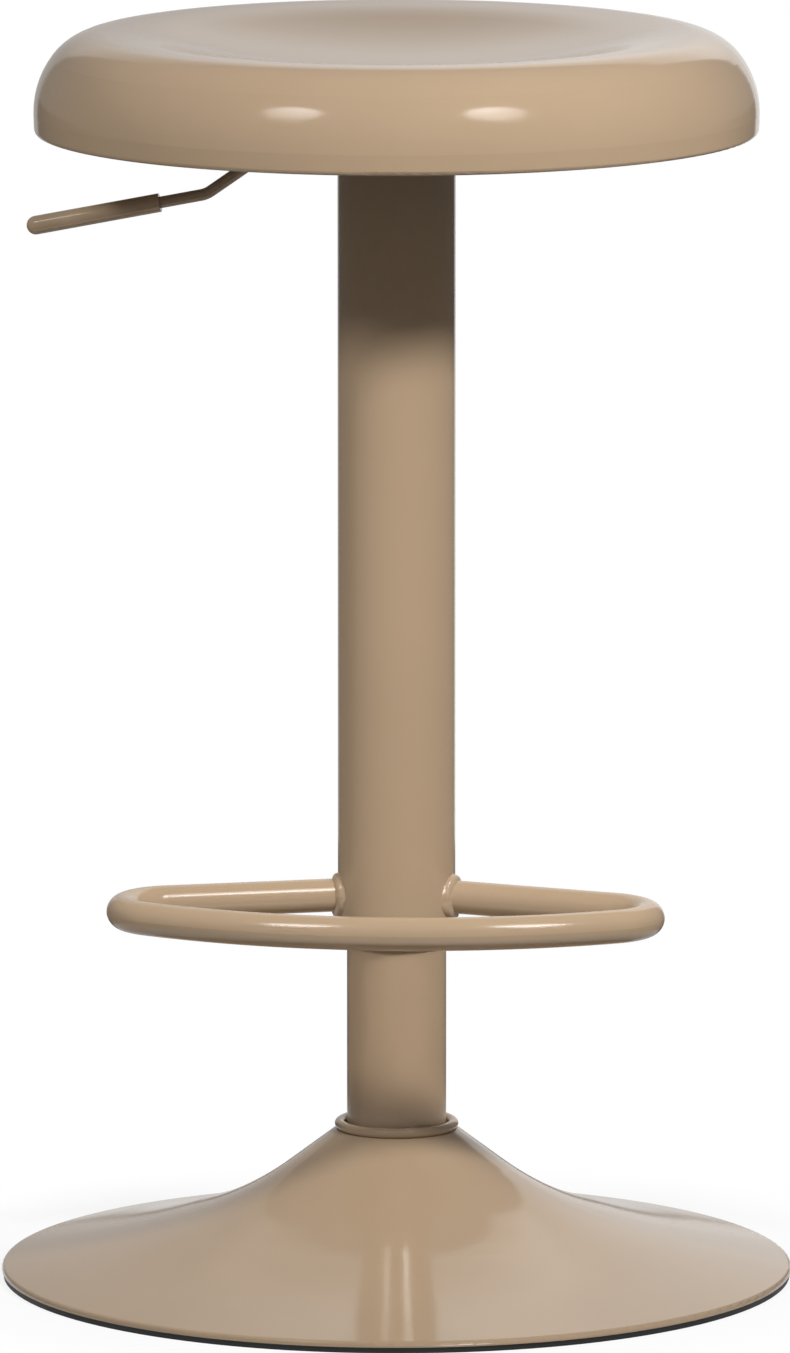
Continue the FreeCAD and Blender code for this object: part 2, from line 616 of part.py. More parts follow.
def sleeve_screws():
    """Round-headed screws through the sleeve into the socket's skirt."""
    screws = []
    z = SLEEVE_TOP - SCREW_BELOW_FLANGE
    inner = SLEEVE_BORE - SOCKET_SKIRT_WALL
    head_radius = SCREW_HEAD_DIAMETER / 2
    sphere_radius = (head_radius ** 2 + SCREW_HEAD_HEIGHT ** 2) / (2 * SCREW_HEAD_HEIGHT)
    sleeve_face = disc(SLEEVE_RADIUS, z - SCREW_HEAD_DIAMETER, z + SCREW_HEAD_DIAMETER)
    for angle in SCREW_ANGLES:
        root, seat, crown = screw_axis_points(angle, z, inner, SLEEVE_RADIUS,
                                              SLEEVE_RADIUS + SCREW_HEAD_HEIGHT)
        outward = (crown - seat).normalize()
        shank = rod_between(root, seat, SCREW_DIAMETER / 2 - FIT_GAP)
        ball = Part.makeSphere(sphere_radius, crown - outward * sphere_radius)
        blank = rod_between(seat - outward * SCREW_HEAD_HEIGHT / 2, crown, head_radius)
        head = ball.common(blank).cut(sleeve_face)
        screws.append(shank.fuse(head).removeSplitter())
    return screws


# ---- Gas spring -----------------------------------------------------------------------------

def gas_cylinder():
    """A tube with a tapered, closed top; its lower edge is rolled in under the gland."""
    neck_radius = VALVE_BODY_DIAMETER / 2 + FIT_GAP
    button_hole = BUTTON_DIAMETER / 2 + MOVING_GAP
    body = turned([(CYLINDER_BORE - CYLINDER_ROLLED_EDGE, CYLINDER_BOTTOM),
                   (CYLINDER_RADIUS, CYLINDER_BOTTOM),
                   (CYLINDER_RADIUS, HUB_BOTTOM),
                   (taper_radius(CYLINDER_TOP), CYLINDER_TOP),
                   (button_hole, CYLINDER_TOP),
                   (button_hole, VALVE_TOP),
                   (neck_radius, VALVE_TOP),
                   (neck_radius, HUB_BOTTOM),
                   (CYLINDER_BORE, HUB_BOTTOM - CYLINDER_WALL),
                   (CYLINDER_BORE, GLAND_BOTTOM),
                   (CYLINDER_BORE - CYLINDER_ROLLED_EDGE, GLAND_BOTTOM)])
    return body


def valve_body():
    """A block bored for the release pin's stem and button."""
    bottom = VALVE_TOP - VALVE_BODY_LENGTH
    radius = VALVE_BODY_DIAMETER / 2
    pocket = BUTTON_DIAMETER / 2 + MOVING_GAP
    stem = STEM_DIAMETER / 2 + RUNNING_GAP
    pocket_bottom = VALVE_TOP - BUTTON_TRAVEL_ROOM
    return turned([(stem, bottom), (radius, bottom), (radius, VALVE_TOP), (pocket, VALVE_TOP),
                   (pocket, pocket_bottom), (stem, pocket_bottom)])


def release_pin():
    """A domed button on a stem."""
    button_bottom = VALVE_TOP
    radius = BUTTON_DIAMETER / 2
    stem = disc(STEM_DIAMETER / 2, button_bottom - STEM_LENGTH, button_bottom)
    button = disc(radius, button_bottom, BUTTON_TOP)
    dome = Part.makeSphere(BUTTON_DOME_RADIUS, Vector(0, 0, BUTTON_TOP - BUTTON_DOME_RADIUS))
    return stem.fuse(button.common(dome)).removeSplitter()


def rod_gland():
    """The guide and seal in the cylinder's lower end."""
    return tube(ROD_DIAMETER / 2 + RUNNING_GAP, CYLINDER_BORE - FIT_GAP,
                GLAND_BOTTOM, GLAND_BOTTOM + GLAND_LENGTH)


def piston_rod():
    """Stepped at the shoulder, grooved for its clip, riveted over the piston head."""
    radius = ROD_DIAMETER / 2
    end_radius = ROD_END_DIAMETER / 2
    groove = CLIP_GROOVE_DIAMETER / 2
    clip_bottom = CLIP_TOP - CLIP_THICKNESS
    rivet_top = PISTON_TOP + ROD_RIVET_HEIGHT
    rivet_radius = radius + ROD_RIVET_HEIGHT / 2
    return turned([(0, ROD_BOTTOM), (end_radius, ROD_BOTTOM), (end_radius, clip_bottom),
                   (groove, clip_bottom), (groove, CLIP_TOP), (end_radius, CLIP_TOP),
                   (end_radius, ROD_SHOULDER), (radius, ROD_SHOULDER), (radius, PISTON_TOP),
                   (rivet_radius, PISTON_TOP), (radius, rivet_top), (0, rivet_top)])


def piston_head():
    """A grooved piston on the rod's upper end."""
    radius = CYLINDER_BORE - PISTON_EDGE_GAP
    bore = ROD_DIAMETER / 2 + FIT_GAP
    groove_bottom = (PISTON_BOTTOM + PISTON_TOP - PISTON_GROOVE_WIDTH) / 2
    groove_top = groove_bottom + PISTON_GROOVE_WIDTH
    inner = radius - PISTON_GROOVE_DEPTH
    return turned([(bore, PISTON_BOTTOM), (radius, PISTON_BOTTOM), (radius, groove_bottom),
                   (inner, groove_bottom), (inner, groove_top), (radius, groove_top),
                   (radius, PISTON_TOP), (bore, PISTON_TOP)])


# ---- Sleeve and footrest --------------------------------------------------------------------

def sleeve_tube():
    """The outer tube, drilled for its screws."""
    z = SLEEVE_TOP - SCREW_BELOW_FLANGE
    holes = [rod_between(*screw_axis_points(angle, z, SLEEVE_BORE - 1, SLEEVE_RADIUS + 1),
                         SCREW_DIAMETER / 2 + FIT_GAP) for angle in SCREW_ANGLES]
    return tube(SLEEVE_BORE, SLEEVE_RADIUS, SLEEVE_BOTTOM, SLEEVE_TOP).cut(holes)


def sleeve_glide_ring():
    """A flanged plastic ring in the sleeve's lower end, running on the column."""
    bore = COLUMN_RADIUS + RUNNING_GAP
    radius = SLEEVE_BORE - FIT_GAP
    return turned([(bore, GLIDE_BOTTOM), (SLEEVE_RADIUS - GLIDE_FLANGE_INSET, GLIDE_BOTTOM),
                   (SLEEVE_RADIUS - GLIDE_FLANGE_INSET, SLEEVE_BOTTOM), (radius, SLEEVE_BOTTOM),
                   (radius, SLEEVE_BOTTOM + GLIDE_LENGTH), (bore, SLEEVE_BOTTOM + GLIDE_LENGTH)])


def footrest_frame():
    """Centres and radii of the footrest's plan: arm, corner and front arc are tangent."""
    angle = math.radians(FOOTREST_ARM_ANGLE)
    corner_x = FOOTREST_HALF_WIDTH - FOOTREST_CORNER_RADIUS
    corner_y = (FOOTREST_ARM_ORIGIN - corner_x * math.tan(angle)
                - FOOTREST_CORNER_RADIUS / math.cos(angle))
    depth = FOOTREST_REACH + corner_y
    front_radius = ((corner_x ** 2 + depth ** 2 - FOOTREST_CORNER_RADIUS ** 2)
                    / (2 * (depth - FOOTREST_CORNER_RADIUS)))
    return Vector(corner_x, corner_y, 0), front_radius


def footrest_path():
    """The tube's centreline, from inside the sleeve's wall on one side to the other."""
    corner, front_radius = footrest_frame()
    angle = math.radians(FOOTREST_ARM_ANGLE)
    arm_side = Vector(math.sin(angle), math.cos(angle), 0)
    front_centre = Vector(0, front_radius - FOOTREST_REACH, 0)
    front_side = (corner - front_centre).normalize()
    start = Vector(SLEEVE_BORE, FOOTREST_ARM_ORIGIN - SLEEVE_BORE * math.tan(angle), 0)
    arm_end = corner + arm_side * FOOTREST_CORNER_RADIUS
    middle_side = (arm_side + front_side).normalize()
    corner_middle = corner + middle_side * FOOTREST_CORNER_RADIUS
    corner_end = corner + front_side * FOOTREST_CORNER_RADIUS
    front = Vector(0, -FOOTREST_REACH, 0)
    lift = Vector(0, 0, FOOTREST_Z)

    def other_side(point):
        return Vector(-point.x, point.y, point.z)

    points = [start, arm_end, corner_middle, corner_end, front]
    points += [other_side(point) for point in reversed(points[:-1])]
    p = [point + lift for point in points]
    return Part.Wire([Part.LineSegment(p[0], p[1]).toShape(), Part.Arc(p[1], p[2], p[3]).toShape(),
                      Part.Arc(p[3], p[4], p[5]).toShape(), Part.Arc(p[5], p[6], p[7]).toShape(),
                      Part.LineSegment(p[7], p[8]).toShape()])


def footrest_bar():
    """One bent tube whose ends are coped to the sleeve."""
    path = footrest_path()
    radius = FOOTREST_TUBE / 2
    outer = pipe(path, radius)
    hollow = pipe(path, radius - FOOTREST_WALL)
    sleeve = disc(SLEEVE_RADIUS, FOOTREST_Z - FOOTREST_TUBE, FOOTREST_Z + FOOTREST_TUBE)
    return outer.cut([hollow, sleeve]).removeSplitter()


def footrest_welds():
    """A fillet of weld round each arm, where it meets the sleeve."""
    path = footrest_path()
    sleeve = disc(SLEEVE_RADIUS, FOOTREST_Z - 2 * FOOTREST_TUBE, FOOTREST_Z + 2 * FOOTREST_TUBE)
    radius = FOOTREST_TUBE / 2
    beads = []
    for start, far in ((path.OrderedVertexes[0].Point, path.OrderedVertexes[1].Point),
                       (path.OrderedVertexes[-1].Point, path.OrderedVertexes[-2].Point)):
        run = (far - start).normalize()
        hidden = SLEEVE_RADIUS - SLEEVE_BORE
        inner = start - run * hidden
        length = 2 * hidden + WELD_SIZE + radius / 2
        cone = Part.makeCone(radius + WELD_SIZE + hidden, radius, length, inner, run)
        arm = rod_between(inner - run, inner + run * (length + 1), radius)
        beads.append(cone.cut([arm, sleeve]).removeSplitter())
    return beads


# ---- Column ---------------------------------------------------------------------------------

def column_tube():
    return tube(COLUMN_BORE, COLUMN_RADIUS, INNER_PLATE_TOP, COLUMN_TOP)


def column_guide_bush():
    """A plastic moulding: an inner and an outer wall joined by ribs under a flange."""
    bore = CYLINDER_RADIUS + RUNNING_GAP
    plug = COLUMN_BORE - FIT_GAP
    bottom = COLUMN_TOP - BUSH_LENGTH
    flange_top = COLUMN_TOP + BUSH_FLANGE
    flange = tube(bore, SLEEVE_BORE - RUNNING_GAP, COLUMN_TOP, flange_top)
    inner = tube(bore, bore + BUSH_WALL, bottom, COLUMN_TOP)
    outer = tube(plug - BUSH_WALL, plug, bottom, COLUMN_TOP)
    half = BUSH_RIB_THICKNESS / 2
    middle = bore + BUSH_WALL / 2
    rib = block((middle, plug - BUSH_WALL / 2), (-half, half), (bottom, COLUMN_TOP))
    ribs = []
    for index in range(BUSH_RIBS):
        copy = rib.copy()
        copy.rotate(ORIGIN, UP, 360 * index / BUSH_RIBS)
        ribs.append(copy)
    return flange.fuse([inner, outer] + ribs).removeSplitter()


def column_foot():
    """A plug welded in the column, with a spigot that passes through the inner plate."""
    plug = COLUMN_BORE - FIT_GAP
    spigot = SPIGOT_DIAMETER / 2
    bore = ROD_END_DIAMETER / 2 + RUNNING_GAP
    pocket = SPIGOT_BORE_DIAMETER / 2
    return turned([(bore, SPIGOT_WEB), (pocket, SPIGOT_WEB), (pocket, SPIGOT_BOTTOM),
                   (spigot, SPIGOT_BOTTOM), (spigot, INNER_PLATE_TOP), (plug, INNER_PLATE_TOP),
                   (plug, FOOT_TOP), (bore, FOOT_TOP)])


def column_collar():
    """A rolled ring round the column that covers the hole in the base's neck."""
    radius = COLLAR_SECTION / 2
    centre = BASE_NECK_HEIGHT + radius - COLLAR_FLAT
    ring = Part.makeTorus(COLLAR_RADIUS, radius, Vector(0, 0, centre))
    reach = COLLAR_RADIUS + COLLAR_SECTION
    return ring.common(disc(reach, BASE_NECK_HEIGHT, COLLAR_TOP + 1))


# ---- Base -----------------------------------------------------------------------------------

def base_outline():
    """The trumpet's outer face, from the rim's lower edge up to the hole in the neck."""
    foot = at(BASE_RADIUS, RING_HEIGHT)
    rim = at(BASE_RADIUS, RING_HEIGHT + BASE_RIM_HEIGHT)
    neck = at(NECK_RADIUS, BASE_NECK_HEIGHT)
    hole = at(COLUMN_RADIUS + RUNNING_GAP, BASE_NECK_HEIGHT)
    run = neck - rim
    low, high = (rim + at(across * run.x, up * run.z)
                 for across, up, _ in (BASE_LOW_BEND, BASE_HIGH_BEND))
    straight = (high - low).Length
    low_radius = bend_radius(rim, low, high, BASE_LOW_BEND[2] * straight)
    high_radius = bend_radius(low, high, neck, BASE_HIGH_BEND[2] * straight)
    return rounded_path([foot, rim, low, high, neck, hole],
                        [BASE_RIM_RADIUS, low_radius, high_radius, BASE_NECK_EDGE])


def base_shell(outline):
    return spin(sheet_section(outline, BASE_SHEET))


def base_rubber_ring(outline):
    """A foot under the rim, with a wedge that fills the rim's inside."""
    inside = offset_outline(outline, BASE_SHEET + FIT_GAP)
    outer = BASE_RADIUS - RING_INSET
    lip_inside = BASE_RADIUS - BASE_SHEET - FIT_GAP
    wedge = lip_inside - BASE_RIM_RADIUS
    inner = outer - RING_WIDTH
    return turned([(inner, 0), (outer, 0), (outer, RING_HEIGHT), (lip_inside, RING_HEIGHT),
                   (wedge, height_at(inside, wedge)), (inner, height_at(inside, inner))])


def base_inner_plate(outline):
    """A plate welded across the trumpet's inside; its edge is bevelled to the sheet."""
    inside = offset_outline(outline, BASE_SHEET + FIT_GAP)
    bottom = INNER_PLATE_TOP - INNER_PLATE_THICKNESS
    return turned([(PLATE_HOLE_RADIUS, bottom), (radius_at(inside, bottom), bottom),
                   (radius_at(inside, INNER_PLATE_TOP), INNER_PLATE_TOP),
                   (PLATE_HOLE_RADIUS, INNER_PLATE_TOP)])


def base_spring_washer():
    """A split ring between the plate and the nut."""
    bore = SPIGOT_DIAMETER / 2 + MOVING_GAP
    top = INNER_PLATE_TOP - INNER_PLATE_THICKNESS
    bottom = top - SPRING_WASHER_THICKNESS
    radius = bore + SPRING_WASHER_WIDTH
    half = SPRING_WASHER_SPLIT / 2
    return tube(bore, radius, bottom, top).cut(block((0, radius + 1), (-half, half), (bottom, top)))


def base_nut():
    top = INNER_PLATE_TOP - INNER_PLATE_THICKNESS - SPRING_WASHER_THICKNESS
    bottom = top - NUT_HEIGHT
    nut = hexagon(NUT_FLATS, bottom, top)
    face = NUT_FLATS / 2 + NUT_FACE_MARGIN
    middle = NUT_HEIGHT / 2
    crown = turned([(0, bottom), (face, bottom), (face + middle, bottom + middle),
                    (face + middle, top), (0, top)])
    return nut.common(crown).cut(disc(SPIGOT_DIAMETER / 2 + FIT_GAP, bottom - 1, top + 1))


# ---- Swivel bearing -------------------------------------------------------------------------

def race(bore, bottom, groove_z):
    """A bearing race with a ball groove in the face nearest the balls."""
    ring = tube(bore, RACE_DIAMETER / 2, bottom, bottom + RACE_THICKNESS)
    groove = Part.makeTorus(BALL_PITCH_RADIUS, BALL_RADIUS + FIT_GAP, Vector(0, 0, groove_z))
    return ring.cut(groove)


def thrust_washer_lower():
    return race(ROD_END_DIAMETER / 2 + MOVING_GAP, FOOT_TOP, BALL_Z)


def thrust_washer_upper():
    return race(ROD_END_DIAMETER / 2 + FIT_GAP, UPPER_RACE_BOTTOM, BALL_Z)


def ball_places():
    return [polar(BALL_PITCH_RADIUS, 360 * index / BALL_COUNT, BALL_Z) for index in range(BALL_COUNT)]


def thrust_balls():
    return [Part.makeSphere(BALL_RADIUS, place) for place in ball_places()]


def thrust_ball_cage():
    """A ring with a pocket for each ball."""
    half = CAGE_THICKNESS / 2
    ring = tube(CAGE_BORE / 2, CAGE_DIAMETER / 2, BALL_Z - half, BALL_Z + half)
    pockets = [disc(BALL_RADIUS + RUNNING_GAP, BALL_Z - CAGE_THICKNESS, BALL_Z + CAGE_THICKNESS,
                    place.x, place.y) for place in ball_places()]
    return ring.cut(pockets)


def rubber_buffer():
    return tube(ROD_END_DIAMETER / 2 + FIT_GAP, BUFFER_DIAMETER / 2, UPPER_RACE_TOP, BUFFER_TOP)


def shoulder_washer():
    return tube(ROD_END_DIAMETER / 2 + FIT_GAP, RACE_DIAMETER / 2, BUFFER_TOP, ROD_SHOULDER)


def rod_end_washer():
    return tube(ROD_END_DIAMETER / 2 + FIT_GAP, END_WASHER_DIAMETER / 2, CLIP_TOP, END_WASHER_TOP)


def retaining_clip():
    """An open ring snapped into the rod's groove."""
    groove = CLIP_GROOVE_DIAMETER / 2 + FIT_GAP
    radius = CLIP_DIAMETER / 2
    bottom = CLIP_TOP - CLIP_THICKNESS
    half = CLIP_OPENING / 2
    ring = tube(groove, radius, bottom, CLIP_TOP)
    return ring.cut(block((0, radius + 1), (-half, half), (bottom, CLIP_TOP)))


# ---- Assembly -------------------------------------------------------------------------------

def build():
    """Every piece by name; a list is a group of like pieces."""
    seat = seat_outline()
    base = base_outline()
    return {
        "base_shell": base_shell(base),
        "base_rubber_ring": base_rubber_ring(base),
        "base_inner_plate": base_inner_plate(base),
        "base_spring_washer": base_spring_washer(),
        "base_nut": base_nut(),
        "column_collar": column_collar(),
        "column_foot": column_foot(),
        "column_tube": column_tube(),
        "column_guide_bush": column_guide_bush(),
        "thrust_washer_lower": thrust_washer_lower(),
        "thrust_balls": thrust_balls(),
        "thrust_ball_cage": thrust_ball_cage(),
        "thrust_washer_upper": thrust_washer_upper(),
        "rubber_buffer": rubber_buffer(),
        "shoulder_washer": shoulder_washer(),
        "rod_end_washer": rod_end_washer(),
        "retaining_clip": retaining_clip(),
        "piston_rod": piston_rod(),
        "piston_head": piston_head(),
        "gas_cylinder": gas_cylinder(),
        "rod_gland": rod_gland(),
        "valve_body": valve_body(),
        "release_pin": release_pin(),
        "taper_socket": taper_socket(),
        "sleeve_tube": sleeve_tube(),
        "sleeve_screws": sleeve_screws(),
        "sleeve_glide_ring": sleeve_glide_ring(),
        "footrest_bar": footrest_bar(),
        "footrest_welds": footrest_welds(),
        "mechanism_housing": mechanism_housing(),
        "lever_bracket": lever_bracket(),
        "lever_pivot_pin": lever_pivot_pin(),
        "lever_rod": lever_rod(),
        "lever_grip": lever_grip(),
        "seat_plate": seat_plate(),
        "seat_reinforcement": seat_reinforcement(seat),
        "weld_nuts": weld_nuts(),
        "seat_bolts": seat_bolts(),
        "seat_washers": seat_washers(),
        "seat_shell": seat_shell(seat),
    }


def main():
    os.makedirs("parts", exist_ok=True)
    for name, made in build().items():
        shape = Part.makeCompound(made) if isinstance(made, list) else made
        if not shape.isValid():
            raise ValueError(name + " is not a valid solid")
        shape.exportStep(os.path.join("parts", name + ".step"))


main()
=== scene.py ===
# %% [markdown]
# # Dressing a swivel stool
# A bar stool arrives from CAD as forty plain pieces, each at its real size and riding on the
# body that moves it. This lesson gives the pieces their finish: glossy powder coat, moulded
# plastic, rubber and steel. It also adds the few shapes that are easier to work out here than
# in CAD: weld beads, socket-head screws and bolts with a thread. Lengths are in metres, +Z is
# up, the column stands on the origin and the footrest's front bar is towards -Y.

# %% Load the CAD model as a fixed frame
import json
import math

import bmesh
import bpy
import numpy as np
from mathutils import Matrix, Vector


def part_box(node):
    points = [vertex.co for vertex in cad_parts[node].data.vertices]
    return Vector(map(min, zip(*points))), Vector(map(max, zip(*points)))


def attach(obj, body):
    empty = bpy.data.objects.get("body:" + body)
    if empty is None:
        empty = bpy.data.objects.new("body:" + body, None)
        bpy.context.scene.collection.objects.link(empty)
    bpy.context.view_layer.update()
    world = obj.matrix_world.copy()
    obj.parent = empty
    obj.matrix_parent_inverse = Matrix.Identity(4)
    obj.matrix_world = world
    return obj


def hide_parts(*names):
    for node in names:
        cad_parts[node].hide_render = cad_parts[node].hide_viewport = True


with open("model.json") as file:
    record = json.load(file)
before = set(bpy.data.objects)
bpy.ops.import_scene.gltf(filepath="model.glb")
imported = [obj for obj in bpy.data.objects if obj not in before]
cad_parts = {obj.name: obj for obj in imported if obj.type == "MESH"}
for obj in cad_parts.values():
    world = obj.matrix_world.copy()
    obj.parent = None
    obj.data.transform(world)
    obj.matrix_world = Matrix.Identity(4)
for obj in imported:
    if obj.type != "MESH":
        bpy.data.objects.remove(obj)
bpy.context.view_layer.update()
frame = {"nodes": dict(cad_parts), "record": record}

MM = 0.001

# %% [markdown]
# ## Camera
# A catalogue view keeps the upright edges parallel. From close by they would lean together,
# so the camera stands far away with a long lens. It is a little above the seat and looks down
# about nine degrees, which opens the seat and the base into flat ellipses. Azimuths here are
# degrees round the column: 0 is the front and 90 is towards +X, on the right of the view.

# %% Camera
CAMERA_AZIMUTH = 5.4
CAMERA_DISTANCE = 7.0      # level, from the column
CAMERA_HEIGHT = 1.437
CAMERA_REACH = 100.0       # things further off aren't drawn
AIM_HEIGHT = 0.3098
AIM_LEFT = 0.0008          # aims this far left of the column
LENS = 369.9               # focal length in millimetres
SENSOR = 36.0              # the view's long side on the sensor, in millimetres


def beside_column(azimuth, away, height):
    """The point at an azimuth in degrees, a level distance from the column and a height."""
    turn = math.radians(azimuth)
    return Vector((away * math.sin(turn), -away * math.cos(turn), height))


def look_at(thing, place, target):
    """Puts an object at a place, its -Z axis towards a target and its Y axis upwards."""
    thing.location = place
    thing.rotation_mode = "QUATERNION"
    thing.rotation_quaternion = (target - place).to_track_quat("-Z", "Y")


def link(name, data):
    """A new object in the scene."""
    made = bpy.data.objects.new(name, data)
    bpy.context.scene.collection.objects.link(made)
    return made


camera = link("camera", bpy.data.cameras.new("camera"))
camera.data.lens = LENS
camera.data.sensor_width = SENSOR
camera.data.clip_end = CAMERA_REACH
camera_place = beside_column(CAMERA_AZIMUTH, CAMERA_DISTANCE, CAMERA_HEIGHT)
look_at(camera, camera_place, beside_column(CAMERA_AZIMUTH - 90, AIM_LEFT, AIM_HEIGHT))
bpy.context.scene.camera = camera
bpy.context.scene.view_settings.view_transform = "Standard"
print("camera at", [round(x, 3) for x in camera_place])

# %% [markdown]
# ## Shader maths as Python
# A material is a graph of nodes. Written node by node it is long and hard to read, so one
# small class wraps an output socket and lets it take part in sums: `0.3 + 0.1 * noise` adds
# two Math nodes. It has only the operators that this stool needs. Each has its reflected form
# too, which Python calls when the number comes first, as in `1 - mask`.

# %% The socket class
class Socket:
    """A node's output. +, - and * with a number or another socket each add a Math node."""

    def __init__(self, graph, output):
        self.graph, self.output = graph, output

    def other(self, name):
        """Another output of the same node."""
        return Socket(self.graph, self.output.node.outputs[name])

    def math(self, operation, first, second):
        """One Math node on two values, which are numbers or sockets."""
        return self.graph.node("ShaderNodeMath", {"operation": operation}, {0: first, 1: second})

    def __add__(self, value):
        return self.math("ADD", self, value)

    def __radd__(self, value):
        return self.math("ADD", value, self)

    def __sub__(self, value):
        return self.math("SUBTRACT", self, value)

    def __rsub__(self, value):
        return self.math("SUBTRACT", value, self)

    def __mul__(self, value):
        return self.math("MULTIPLY", self, value)

    def __rmul__(self, value):
        return self.math("MULTIPLY", value, self)


print("sockets can be added, subtracted and multiplied")

# %% [markdown]
# ## One method for every other node
# Blender has about a hundred kinds of shader node, but adding one is always the same: make it,
# choose its settings, then give its sockets their numbers or links. `Graph.node` does just
# that. The settings come first, because on some nodes they decide which sockets are in use.
# The short methods below it name the nodes that several finishes share.

# %% The graph and its node method
class Graph:
    """One node tree, emptied, to which nodes are added."""

    def __init__(self, tree):
        self.tree = tree
        tree.nodes.clear()

    def pick(self, sockets, key):
        """A socket by its place, or by its name among those in use."""
        if isinstance(key, int):
            return sockets[key]
        return next(s for s in sockets if s.name == key and s.enabled)

    def node(self, kind, settings=None, sockets=None, out=0):
        """Adds a node: its settings first, then the values or links of its input sockets."""
        made = self.tree.nodes.new(kind)
        for name, value in (settings or {}).items():
            setattr(made, name, value)
        for key, value in (sockets or {}).items():
            target = self.pick(made.inputs, key)
            if isinstance(value, Socket):
                self.tree.links.new(value.output, target)
            else:
                target.default_value = value
        return Socket(self, self.pick(made.outputs, out)) if made.outputs else made

    def colour_mix(self, factor, first, second):
        """One colour turning into another."""
        sockets = {"Factor": factor, "A": first, "B": second}
        return self.node("ShaderNodeMix", {"data_type": "RGBA"}, sockets, out="Result")

    def ramp(self, value, low, high):
        """0 at low and before it, 1 at high and beyond, and a smooth step between them."""
        settings = {"interpolation_type": "SMOOTHSTEP"}
        sockets = {"Value": value, "From Min": low, "From Max": high}
        return self.node("ShaderNodeMapRange", settings, sockets, out="Result")

    def noise(self, place, per_metre, detail=2.0, roughness=0.5):
        """Smooth noise from 0 to 1, about 0.5, with this many features in a metre."""
        sockets = {"Vector": place, "Scale": per_metre, "Detail": detail, "Roughness": roughness}
        return self.node("ShaderNodeTexNoise", None, sockets)

    def object_place(self):
        """Object coordinates. Every piece sits at the origin, so they are places in the stool."""
        return self.node("ShaderNodeTexCoord", None, None, out="Object")


def new_graph(name):
    """A new material and its empty graph."""
    material = bpy.data.materials.new(name)
    material.use_nodes = True
    return material, Graph(material.node_tree)


def grey(level):
    """An opaque colour with all three channels alike."""
    return (level, level, level, 1.0)


print("graphs can be built")

# %% [markdown]
# ## The studio all round
# The stool stands on white paper in a dark studio. A world that looked white and also lit the
# stool would wash out its shadows, so the world asks Light Path what kind of ray has met it.
# A ray from the camera sees white. A ray off a glossy surface sees a dim studio. The light
# that goes on between rough surfaces is kept low, so that the shadows stay deep.

# %% World
AMBIENT = 0.23           # what rough surfaces get from all round
DARK_GREY = 0.22         # what gloss sees of the dark studio


def seen_by(g):
    """Two masks: rays that show the backdrop as it is, and rays off a glossy surface."""
    camera_ray = g.node("ShaderNodeLightPath", None, None, out="Is Camera Ray")
    plain = camera_ray + camera_ray.other("Is Transmission Ray")
    return plain, camera_ray.other("Is Glossy Ray")


world = bpy.data.worlds.new("studio")
bpy.context.scene.world = world
world.use_nodes = True
air = Graph(world.node_tree)
seen_plain, seen_in_gloss = seen_by(air)
air_level = seen_plain + DARK_GREY * seen_in_gloss + AMBIENT * (1 - seen_plain - seen_in_gloss)
sky = air.node("ShaderNodeBackground", None, {"Color": air_level})
air.node("ShaderNodeOutputWorld", None, {"Surface": sky})
print("world: 1 to the camera,", DARK_GREY, "to gloss,", AMBIENT, "to rough surfaces")

# %% [markdown]
# ## Floor
# The floor asks the same question. To the camera it is as white as the world, but near the
# base some of the paper's own shading comes through, and that is the stool's soft shadow. To
# gloss it is dark, apart from a pool of lit paper round the base, because a rim seen edge-on
# mirrors the floor just behind it. For all other light it is mid-grey, so that it doesn't
# light the underside of the seat.

# %% Floor
FLOOR_GREY = 0.09        # what gloss sees of the floor
FLOOR_LIT = 0.75         # and of the paper close to the base
LIT_NEAR, LIT_FAR = 0.38, 0.52          # radii between which the lit paper falls off
FLOOR_BOUNCE = 0.48      # the floor's colour for the light that it sends on
FLOOR_WHITE = 0.95       # and where the camera sees its shading
FLOOR_SIZE = 24.0
SHADOW_NEAR, SHADOW_FAR = 0.212, 0.30   # radii between which the shadow fades out
SHADOW_STRENGTH = 0.16


def floor_material():
    """Shaded paper and a glow, mixed by the kind of ray and the radius from the column.

    The glow's share is 1 for gloss. For the camera it is 1 less the shadow's strength, and
    rises to 1 as the shadow fades out. Other rays meet the shaded paper alone.
    """
    material, g = new_graph("studio_floor")
    plain, gloss = seen_by(g)
    radius = g.node("ShaderNodeVectorMath", {"operation": "LENGTH"}, {0: g.object_place()},
                    out="Value")
    paper = g.colour_mix(plain, grey(FLOOR_BOUNCE), grey(FLOOR_WHITE))
    shaded = g.node("ShaderNodeBsdfDiffuse", None, {"Color": paper})
    pool = FLOOR_LIT + (FLOOR_GREY - FLOOR_LIT) * g.ramp(radius, LIT_NEAR, LIT_FAR)
    glow = g.node("ShaderNodeEmission", None, {"Color": plain + pool * gloss})
    away = g.ramp(radius, SHADOW_NEAR, SHADOW_FAR)
    glow_share = plain * (1 - SHADOW_STRENGTH * (1 - away)) + gloss
    surface = g.node("ShaderNodeMixShader", None, {0: glow_share, 1: shaded, 2: glow})
    g.node("ShaderNodeOutputMaterial", None, {"Surface": surface})
    return material


half = FLOOR_SIZE / 2
floor_corners = [(-half, -half, 0), (half, -half, 0), (half, half, 0), (-half, half, 0)]
floor_mesh = bpy.data.meshes.new("floor")
floor_mesh.from_pydata(floor_corners, [], [(0, 1, 2, 3)])
floor_mesh.materials.append(floor_material())
floor = link("floor", floor_mesh)
print("floor", FLOOR_SIZE, "m square, shadow out to", SHADOW_FAR, "m")

# %% [markdown]
# ## Paper sweep
# Behind the stool hangs a roll of white paper, curved round it. It is what the paint shows at a
# low angle: the soft grey in the dish, on the flat of the base and on the seat's right end.
# A flat sheet would show in the round base as a block, so this one is part of a cylinder.
# Further round the studio is dark, so the faces turned that way keep their own tan. The sweep
# is only for gloss, as the lamps already do the lighting, and its glow falls off towards the
# floor, the top and the left.

